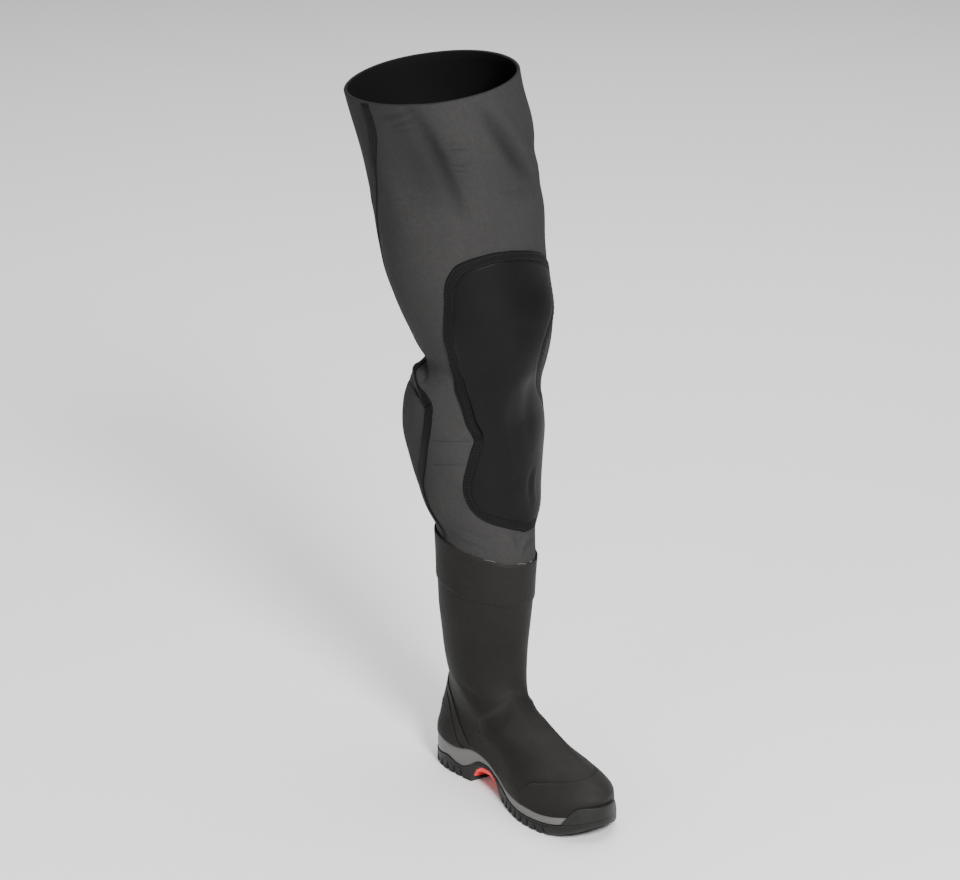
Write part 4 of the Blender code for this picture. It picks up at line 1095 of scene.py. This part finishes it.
# toe cap: a thin skin over the toe with a soft top edge; degrees from the toe, top edge in boot heights
capRows = [
    (-66.0, 0.145),
    (-62.0, 0.176),
    (-52.0, 0.200),
    (-36.0, 0.218),
    (-18.0, 0.231),
    (0.0, 0.2365),
    (18.0, 0.231),
    (36.0, 0.218),
    (52.0, 0.200),
    (62.0, 0.176),
    (66.0, 0.145)]
cap = {"reach": 66.0, "thickness": 0.0010, "edge": 0.0012, "low": 0.1135, "fadeOver": 26.0,
       "cols": 260, "rows": 90}
degrees = np.linspace(-cap["reach"], cap["reach"], cap["cols"])
top = smoothTable(capRows, degrees)[0] * bootHeight
low = cap["low"] * bootHeight
rise = np.linspace(0, 1, cap["rows"])[:, None]
turn = np.radians(degrees) + 0 * rise
level = low + (top - low) * rise
fromSide = cap["reach"] - np.abs(degrees)
soft = quarterRound((top - level) / cap["edge"]) * np.clip(fromSide / 1.6, 0, 1)
out = gap + cap["thickness"] * soft * ease(fromSide, 0, cap["fadeOver"])
# the edge is painted as a dark line of shade with a pale line of highlight below it, stronger on the medial
# side; the toe's painted highlight is added
shown = 0.25 + 0.75 * (1 - ease(degrees, -30, 2))
lines = (0.25 * bell(top - level - 0.0016, 0.0008) - 1.0 * bell(top - level, 0.0006)) * shown
addPiece("toeCap", overlayGrid(bootPoint, turn, level, out), bootRubber, "toe_cap", 60,
         overlayWearAndPaintedLight(lines + toePaintedHighlight(turn, level)))

# cuff: a soft band that grips the neoprene, its top edge slightly uneven
cuff = {"turns": 320, "wall": 0.0014, "uneven": 0.0006}


def cuffWobble(turn):
    # unevenness of the edge as three sines round the leg
    waves = np.sin(7 * turn + 0.5) + 0.7 * np.sin(13 * turn + 2.0) + 0.5 * np.sin(29 * turn)
    return cuff["uneven"] * waves


turns = roundTurns(cuff["turns"])
wobble = cuffWobble(turns)
# share of the cuff's height and thickness in walls: lower edge, hollowed middle, upper bead, top
profile = [(0.0, 0.02), (0.0, 0.35), (0.006, 0.75), (0.02, 0.98), (0.05, 1.08)]
profile += [(k, 1.08 - 0.30 * np.sin(np.pi * (k - 0.05) / 0.87) ** 0.8) for k in np.linspace(0.10, 0.90, 26)]
profile += [(0.92, 1.08), (0.95, 1.16), (0.975, 1.05), (0.993, 0.75)]
profile += [(1.0, 0.35), (1.0, 0.05), (0.6, 0.0), (0.3, 0.0)]
rings = []
wearAndPaintedLight = []
for share, out in profile:
    height = cuffBottom(turns) + (cuffTop(turns) + wobble * (share > 0.9) - cuffBottom(turns)) * share
    height = height + 0.5 * wobble * (share < 0.06)
    rings.append(bootPoint(turns, np.minimum(height, 1.045 * bootHeight), gap * 0.5 + out * cuff["wall"]))
    wearAndPaintedLight.append(0.30 * bell(share - 0.99, 0.02) + 0.16 * bell(share, 0.02))
addPiece("bootCuff", ringGrid(rings), bootRubber, "boot_cuff", 70, np.repeat(wearAndPaintedLight, len(turns)))

print("leg")
leg = {"turns": 222, "innerRows": 90, "rimRound": 0.0012, "bottom": -0.085, "troughDepth": 0.0060}
# rows of the outer side: from and to in shares of the rise, and how many; closer where it folds
steps = [(leg["bottom"], -0.03, 7), (-0.03, 0.03, 28), (0.03, 0.30, 62), (0.30, 0.45, 76), (0.45, 0.80, 72),
         (0.80, 0.94, 82), (0.94, 1.0, 17)]
outer = [np.linspace(first, last, count, endpoint=False) for first, last, count in steps]
turn, share = np.meshgrid(roundTurns(leg["turns"]), np.concatenate(outer + [[1.0]]))
height = legLevel(share, turn)
outside = legPoint(turn, height - leg["rimRound"] * (share > 0.9999), 0.0)
rims = []
for angle in np.pi * np.array([0.25, 0.5, 0.75]):
    ring = legPoint(turn[-1], height[-1] - leg["rimRound"], -form["legWall"] * (0.5 - 0.5 * np.cos(angle)))
    ring[:, 2] += leg["rimRound"] * np.sin(angle)
    rims.append(ring)
inner = np.interp(np.linspace(0, 1, leg["innerRows"]), [0, 0.32, 0.72, 1], [1.0, 0.47, 0.29, leg["bottom"]])
turnIn, shareIn = np.meshgrid(turn[0], inner)
heightIn = legLevel(shareIn, turnIn) - leg["rimRound"] * (shareIn > 0.9999)
inside = legPoint(turnIn, heightIn, -form["legWall"])
inside[..., 2] = np.minimum(inside[..., 2], heightIn)
# painted shade darkens the troughs and the thigh as a whole; the lining is black
paintedLegShade = 0.42 * np.clip(-legRelief(turn, height) / leg["troughDepth"], 0, 1) + 0.17 * ease(height, 0.60, 0.78)
wearAndPaintedLight = np.concatenate([paintedLegShade, np.full((len(rims), leg["turns"]), 0.6), np.ones(turnIn.shape)])
addPiece("neopreneLeg", ringGrid(np.concatenate([outside, rims, inside])), neopreneCloth,
         "wader_leg", 60, wearAndPaintedLight)

# knee pad: share of the rise, medial and lateral edge in degrees from the front
kneeRows = [
    (0.025, 14.0, 38.0),
    (0.040, -8.0, 48.0),
    (0.060, -31.0, 55.0),
    (0.080, -42.0, 58.0),
    (0.102, -46.5, 60.0),
    (0.143, -47.0, 61.0),
    (0.179, -42.0, 61.0),
    (0.211, -37.5, 60.5),
    (0.243, -33.5, 59.0),
    (0.271, -39.0, 55.0),
    (0.304, -44.5, 47.0),
    (0.327, -50.4, 39.0),
    (0.350, -57.4, 32.5),
    (0.375, -63.6, 27.0),
    (0.400, -66.0, 24.0),
    (0.423, -65.4, 25.0),
    (0.452, -65.0, 30.0),
    (0.495, -60.5, 45.0),
    (0.538, -54.5, 56.0),
    (0.563, -52.0, 56.5),
    (0.584, -49.5, 53.0),
    (0.605, -45.0, 43.0),
    (0.625, -37.5, 30.0),
    (0.638, -25.0, 14.0),
    (0.645, -14.0, 0.0)]
# joint: height where the binding's ends meet on the medial side; lap: how far the upper one stands out
knee = {"binding": 0.012, "bindingThick": 0.0016, "padThick": 0.0024, "padSoft": 0.0070,
        "stitchRows": (0.0026, 0.0092), "pressed": 0.0005, "ripple": 0.00016, "joint": 0.436, "lap": 0.0008,
        "points": 560, "cols": 120}

# the pad's outline as an even loop in turned lengths: up the medial edge, down the lateral one
at = kneeRows[0][0] + (kneeRows[-1][0] - kneeRows[0][0]) * easedSteps(260)
medial, lateral = np.radians(smoothTable(kneeRows, at)) * wrapRadius
height = bootHeight + at * legRise


def evenLoop(line, count):
    # the same closed line with points at even distances, its corners softened by averaging
    closed = np.vstack([line, line[:1]])
    run = runAlong(closed)
    spots = np.linspace(0, run[-1], count, endpoint=False)
    even = np.column_stack([np.interp(spots, run, closed[:, k]) for k in (0, 1)])
    for k in range(6):
        even = 0.25 * np.roll(even, 1, axis=0) + 0.5 * even + 0.25 * np.roll(even, -1, axis=0)
    return even


loop = np.concatenate([np.column_stack([medial, height]), np.column_stack([lateral, height])[::-1]])
loop = evenLoop(loop, knee["points"])
ahead = unit(np.roll(loop, -1, axis=0) - np.roll(loop, 1, axis=0))
inward = np.column_stack([ahead[:, 1], -ahead[:, 0]])


def loopAt(inset):
    # turn and height of the outline moved inwards
    moved = loop + inward * np.asarray(inset)[..., None]
    return moved[:, 0] / wrapRadius, moved[:, 1]


# binding: a folded tape with two stitched lines pressed into it
onMedial = loop[:, 0] < 0
upperRun = ease(loop[:, 1], knee["joint"], knee["joint"] + 0.0014) * (1 - ease(loop[:, 1], 0.450, 0.580))
upperRun = upperRun * onMedial
cutLine = bell(loop[:, 1] - knee["joint"] + 0.0006, 0.0010) * onMedial
ripple = knee["ripple"] * np.sin(np.arange(knee["points"]) * 2 * np.pi / 4.2)
rings = []
wearAndPaintedLight = []
for inset in np.linspace(0, knee["binding"], 22):
    side = np.clip(min(inset, knee["binding"] - inset) / 0.0012, 0, 1)
    body = knee["bindingThick"] * quarterRound(side)
    pressed = sum(knee["pressed"] * bell(inset - row, 0.0007) for row in knee["stitchRows"])
    turn, at = loopAt(inset - knee["lap"] * 1.6 * upperRun)
    out = gap + max(body - pressed, 0.0) + ripple * side + knee["lap"] * upperRun * side
    rings.append(legPoint(turn, at, out))
    wearAndPaintedLight.append(0.5 * sum(bell(inset - row, 0.0006) for row in knee["stitchRows"]) + cutLine)
for inset in (knee["binding"], 0.0):
    turn, at = loopAt(inset)
    rings.append(legPoint(turn, at, -form["sunk"]))
    wearAndPaintedLight.append(np.zeros(len(turn)))
loopRun = np.cumsum(np.linalg.norm(loop - np.roll(loop, 1, axis=0), axis=1))
addPiece("padBinding", ringGrid(rings), tapeCloth, "knee_pad_binding", 60, wearAndPaintedLight,
         np.tile(loopRun, len(rings)))

# pad: rungs from the medial to the lateral half of the loop, cushioned towards its middle
turn, at = loopAt(knee["binding"] - 0.0008)
half = len(turn) // 2
left = np.column_stack([turn[:half], at[:half]])
right = np.column_stack([turn[half:][::-1], at[half:][::-1]])
across = easedSteps(knee["cols"])
turn = left[:, :1] + (right[:, :1] - left[:, :1]) * across
at = left[:, 1:] + (right[:, 1:] - left[:, 1:]) * across
width = np.abs(right[:, :1] - left[:, :1]) * wrapRadius
side = np.minimum(across, 1 - across)[None, :] * width
ends = (stepsFromEnds(half) * 0.0018)[:, None]
near = np.minimum(side, ends) / knee["padSoft"]
thick = knee["padThick"] * (0.45 + 0.55 * quarterRound(near))
cushion = overlayGrid(legPoint, turn, at, gap + thick)
kneePad = addPiece("kneePad", cushion, padCloth, "knee_pad")


def stitchRow(line, look):
    # short rounded threads along a line of (turn, height) pairs: each is five rings of six points,
    # thin and sunk at both ends, laid on the surface
    turns, heights = line
    spots = legPoint(turns, heights, look["lift"])
    run = runAlong(spots)
    pitch = look["stitch"] + look["space"]
    count = int(run[-1] / pitch)
    share = np.array([0.0, 0.12, 0.5, 0.88, 1.0])
    thick = np.array([0.25, 0.85, 1.0, 0.85, 0.25])
    rise = np.array([-0.8, 0.2, 0.7, 0.2, -0.8])
    where = ((np.arange(count) + 0.1) * pitch)[:, None] + share[None, :] * look["stitch"]
    centre = np.stack([np.interp(where, run, spots[:, k]) for k in range(3)], -1)
    outs = surfaceNormals(legSurface, turns, heights)
    out = unit(np.stack([np.interp(where, run, outs[:, k]) for k in range(3)], -1))
    sideways = np.cross(unit(centre[:, -1:] - centre[:, :1]), out)
    angle = np.arange(6) * np.pi / 3
    ring = np.cos(angle)[:, None] * sideways[:, :, None, :] + np.sin(angle)[:, None] * out[:, :, None, :]
    middle = centre + out * (rise * look["thread"])[None, :, None]
    grid = middle[:, :, None, :] + ring * (thick * look["thread"])[None, :, None, None]
    caps = np.array([[3, 2, 1, 0], [5, 4, 3, 0], [25, 26, 27, 24], [27, 28, 29, 24]])
    one = np.concatenate([gridFaces(5, 6, False, True), caps])
    return grid.reshape(-1, 3), (one[None] + (np.arange(count) * 30)[:, None, None]).reshape(-1, 4)


padThread = {"stitch": 0.0026, "space": 0.0012, "thread": 0.00032,
             "lift": gap + knee["bindingThick"] - 0.00045}
parts = []
for inset in knee["stitchRows"]:
    turn, at = loopAt(inset)
    parts.append(stitchRow((np.append(turn, turn[0]), np.append(at, at[0])), padThread))
addPiece("padStitches", joinParts(parts), threadCloth, None, 80)

# seam tapes: share of the rise, middle in degrees from the front
inseamRows = [
    (0.001, -95.0),
    (0.020, -99.0),
    (0.059, -104.0),
    (0.093, -104.0),
    (0.129, -99.0),
    (0.164, -92.0),
    (0.205, -84.0),
    (0.245, -78.0),
    (0.277, -76.5),
    (0.307, -80.0),
    (0.330, -98.0),
    (0.358, -119.0),
    (0.393, -128.0),
    (0.446, -131.0),
    (0.536, -130.0),
    (0.625, -123.0),
    (0.693, -113.0),
    (0.750, -102.0),
    (0.830, -91.0),
    (0.884, -85.0),
    (0.936, -87.0)]
gussetRows = [
    (0.692, -120.5),
    (0.704, -125.0),
    (0.760, -139.0),
    (0.830, -150.0),
    (0.884, -153.0),
    (0.951, -150.0)]
# joint: share where the calf's run ends on the thigh's; stitchAt: stitch lines in tape widths
tape = {"width": 0.0125, "thickness": 0.0010, "cols": 15, "joint": 0.302, "lap": 0.0007, "stitchAt": 0.32,
        "stretch": 1.04}


def tapeLine(table, count, side):
    # a line beside the tape's middle, side in tape widths, square to its run
    share = np.linspace(table[0][0], table[-1][0], count)
    turn = np.radians(smoothTable(table, share)[0])
    height = bootHeight + share * legRise
    ahead = unit(np.gradient(legSurface(turn, height), axis=0))
    tilt = np.cross(surfaceNormals(legSurface, turn, height), ahead)[:, 2]
    flat = np.sqrt(np.clip(1 - tilt * tilt, 0, 1))
    return turn - side * flat * tape["width"] / wrapRadius, height + side * tilt * tape["width"]


def tapeStrip(name, table, count, replaced, lapped):
    # a flat strip with rounded edges and two pressed lines; a lapped one has a joint
    sides = np.linspace(-0.5, 0.5, tape["cols"])
    turn, height = np.stack([tapeLine(table, count, side) for side in sides], axis=1)
    ends = np.clip(stepsFromEnds(count) / 4.0, 0, 1)[None, :]
    body = quarterRound((0.5 - np.abs(sides)) / 0.10)[:, None] * ends
    pressed = bell(sides - tape["stitchAt"], 0.05) + bell(sides + tape["stitchAt"], 0.05)
    pressed = 0.35 * pressed[:, None]
    out = gap + tape["thickness"] * np.clip(body - pressed * body, 0, 1)
    # the calf's run laps over the thigh's with a square end
    share = np.linspace(table[0][0], table[-1][0], count)[None, :]
    out = out + tape["lap"] * lapped * (1 - ease(share, tape["joint"], tape["joint"] + 0.0016)) * body
    lines = 0.9 * lapped * bell(share - tape["joint"] - 0.0022, 0.0012) + pressed * 0.35
    run = np.tile((share * legRise * tape["stretch"] + 0 * body).ravel(), 2)
    addPiece(name, overlayGrid(legPoint, turn, height, out), tapeCloth, replaced, 60,
             overlayWearAndPaintedLight(lines), run)


tapeStrip("inseamTape", inseamRows, 380, "inseam_tape", True)
tapeStrip("gussetTape", gussetRows, 90, "gusset_tape", False)
tapeThread = {"stitch": 0.0024, "space": 0.0011, "thread": 0.00026, "lift": gap + 0.00072}
parts = []
for table, count in ((inseamRows, 300), (gussetRows, 80)):
    for side in (-tape["stitchAt"], tape["stitchAt"]):
        parts.append(stitchRow(tapeLine(table, count, side), tapeThread))
addPiece("tapeStitches", joinParts(parts), threadCloth, None, 80)


def beadAlong(turn, height, lift, radius, spread):
    # a bead on the leg: rings of eight points round a line, spread times as wide as they are high
    centre = legPoint(turn, height, lift)
    ahead = unit(np.gradient(centre, axis=0))
    out = surfaceNormals(legSurface, turn, height)
    sideways = np.cross(ahead, out)
    angle = (np.arange(8) * np.pi / 4)[None, :, None]
    ring = np.cos(angle) * sideways[:, None, :] * spread + np.sin(angle) * out[:, None, :]
    return endedGrid(centre[:, None, :] + ring * radius[:, None, None])


# fine joined seams of the neoprene panels: points (degrees, share of the leg's height)
seams = {
    "radius": 0.00045,
    "spread": 1.9,
    "step": 0.0025,
    "lines": [
        [(-33, 0.504), (-40, 0.503), (-60, 0.500), (-74, 0.498)],
        [(-45, 0.470), (-62, 0.466), (-78, 0.462)],
        [(180, 0.974), (180, 0.80), (180, 0.62), (180, 0.50), (180, 0.37)],
        [(62, 0.988), (74, 0.80), (84, 0.60), (92, 0.45), (95, 0.355)]]}
parts = []
for line in seams["lines"]:
    # even steps along a smooth line through the given points
    spots = np.array(line) * (np.radians(1) * wrapRadius, legHeight)
    run = runAlong(spots)
    at = np.linspace(0, run[-1], int(run[-1] / seams["step"]))
    across, height = smoothTable(np.column_stack([run, spots]), at)
    taper = np.clip(stepsFromEnds(len(at)) / 3.0, 0.15, 1)
    parts.append(beadAlong(across / wrapRadius, height, 0.0, seams["radius"] * taper, seams["spread"]))
addPiece("panelSeams", joinParts(parts), neopreneCloth, None, 80, 0.12)

# bits of dried glue where the cuff ends on the neoprene; spans in degrees from the front
glueBits = {"radius": 0.00045, "spread": 1.4, "points": 60, "lift": 0.0003, "above": 0.0004,
            "spans": [(-43, -29), (-2, 13), (20, 26)]}
parts = []
for first, last in glueBits["spans"]:
    turn = np.radians(np.linspace(first, last, glueBits["points"]))
    height = cuffTop(turn) + cuffWobble(turn) + glueBits["above"]
    k = np.arange(glueBits["points"])
    lumps = np.clip(0.55 + 0.45 * np.sin(k * 0.9) * np.sin(k * 0.37 + first), 0.12, 1.0)
    lumps = lumps * np.clip(stepsFromEnds(glueBits["points"]) / 5.0, 0.1, 1)
    parts.append(beadAlong(turn, height, glueBits["lift"], glueBits["radius"] * lumps, glueBits["spread"]))
addPiece("glueLine", joinParts(parts), glueRubber, None, 80, 0.4)

print("stage, lights and camera")
stage = {"floor": (0.88, 0.88, 0.88), "speck": (0.80, 0.80, 0.80), "roughness": 0.9, "world": 0.20,
         "size": 9.0}
floorMaterial, tree, shader, start, place = newMaterial("paleFloor")
speck = noise(start, place, 3.0, 2.0, 0.5)
attach(tree, shader, mixColour(start, speck * 0.15, stage["floor"], stage["speck"]))
shader.inputs["Roughness"].default_value = stage["roughness"]
floorMesh = bpy.data.meshes.new("floor")
reach = stage["size"]
corners = [(-reach, -reach, 0), (reach, -reach, 0), (reach, reach, 0), (-reach, reach, 0)]
floorMesh.from_pydata(corners, [], [(0, 1, 2, 3)])
floorMesh.materials.append(floorMaterial)
floor = bpy.data.objects.new("floor", floorMesh)
bpy.context.scene.collection.objects.link(floor)

world = bpy.data.worlds.new("studioWorld")
world.use_nodes = True
world.node_tree.nodes["Background"].inputs["Color"].default_value = (1.0, 1.0, 1.0, 1.0)
world.node_tree.nodes["Background"].inputs["Strength"].default_value = stage["world"]
bpy.context.scene.world = world


def aim(thing, spot, target):
    # put a lamp or the camera at a spot, looking at the target
    thing.location = spot
    thing.rotation_euler = (Vector(target) - Vector(spot)).to_track_quat("-Z", "Y").to_euler()
    bpy.context.scene.collection.objects.link(thing)


# soft boxes: place, what they look at, size and power
lights = {
    "topBox": ((-1.6, 1.6, 5.5), (-1.6, 1.6, 0.0), 7.0, 460.0),
    "keyBox": ((2.95, -0.75, 2.25), (0.0, 0.0, 0.42), 0.9, 205.0),
    "fillBox": ((0.9, -2.8, 1.5), (0.0, 0.0, 0.42), 1.2, 20.0),
    "backBox": ((-1.8, 1.6, 2.0), (0.0, 0.0, 0.45), 1.4, 5.0)}
for name, (spot, target, size, power) in lights.items():
    data = bpy.data.lights.new(name, "AREA")
    data.shape = "DISK"
    data.size = size
    data.energy = power
    aim(bpy.data.objects.new(name, data), spot, target)

# the photo's camera, drawn back a little so that the whole leg is in the frame
view = {"place": (2.604, -1.790, 1.427), "target": (0.0, 0.0, 0.412), "focal": 2840.0, "across": 960.0,
        "sensor": 36.0, "farEnd": 40.0}
data = bpy.data.cameras.new("photoCamera")
data.sensor_width = view["sensor"]
data.lens = view["focal"] * view["sensor"] / view["across"]
data.clip_end = view["farEnd"]
camera = bpy.data.objects.new("photoCamera", data)
aim(camera, view["place"], view["target"])
bpy.context.scene.camera = camera
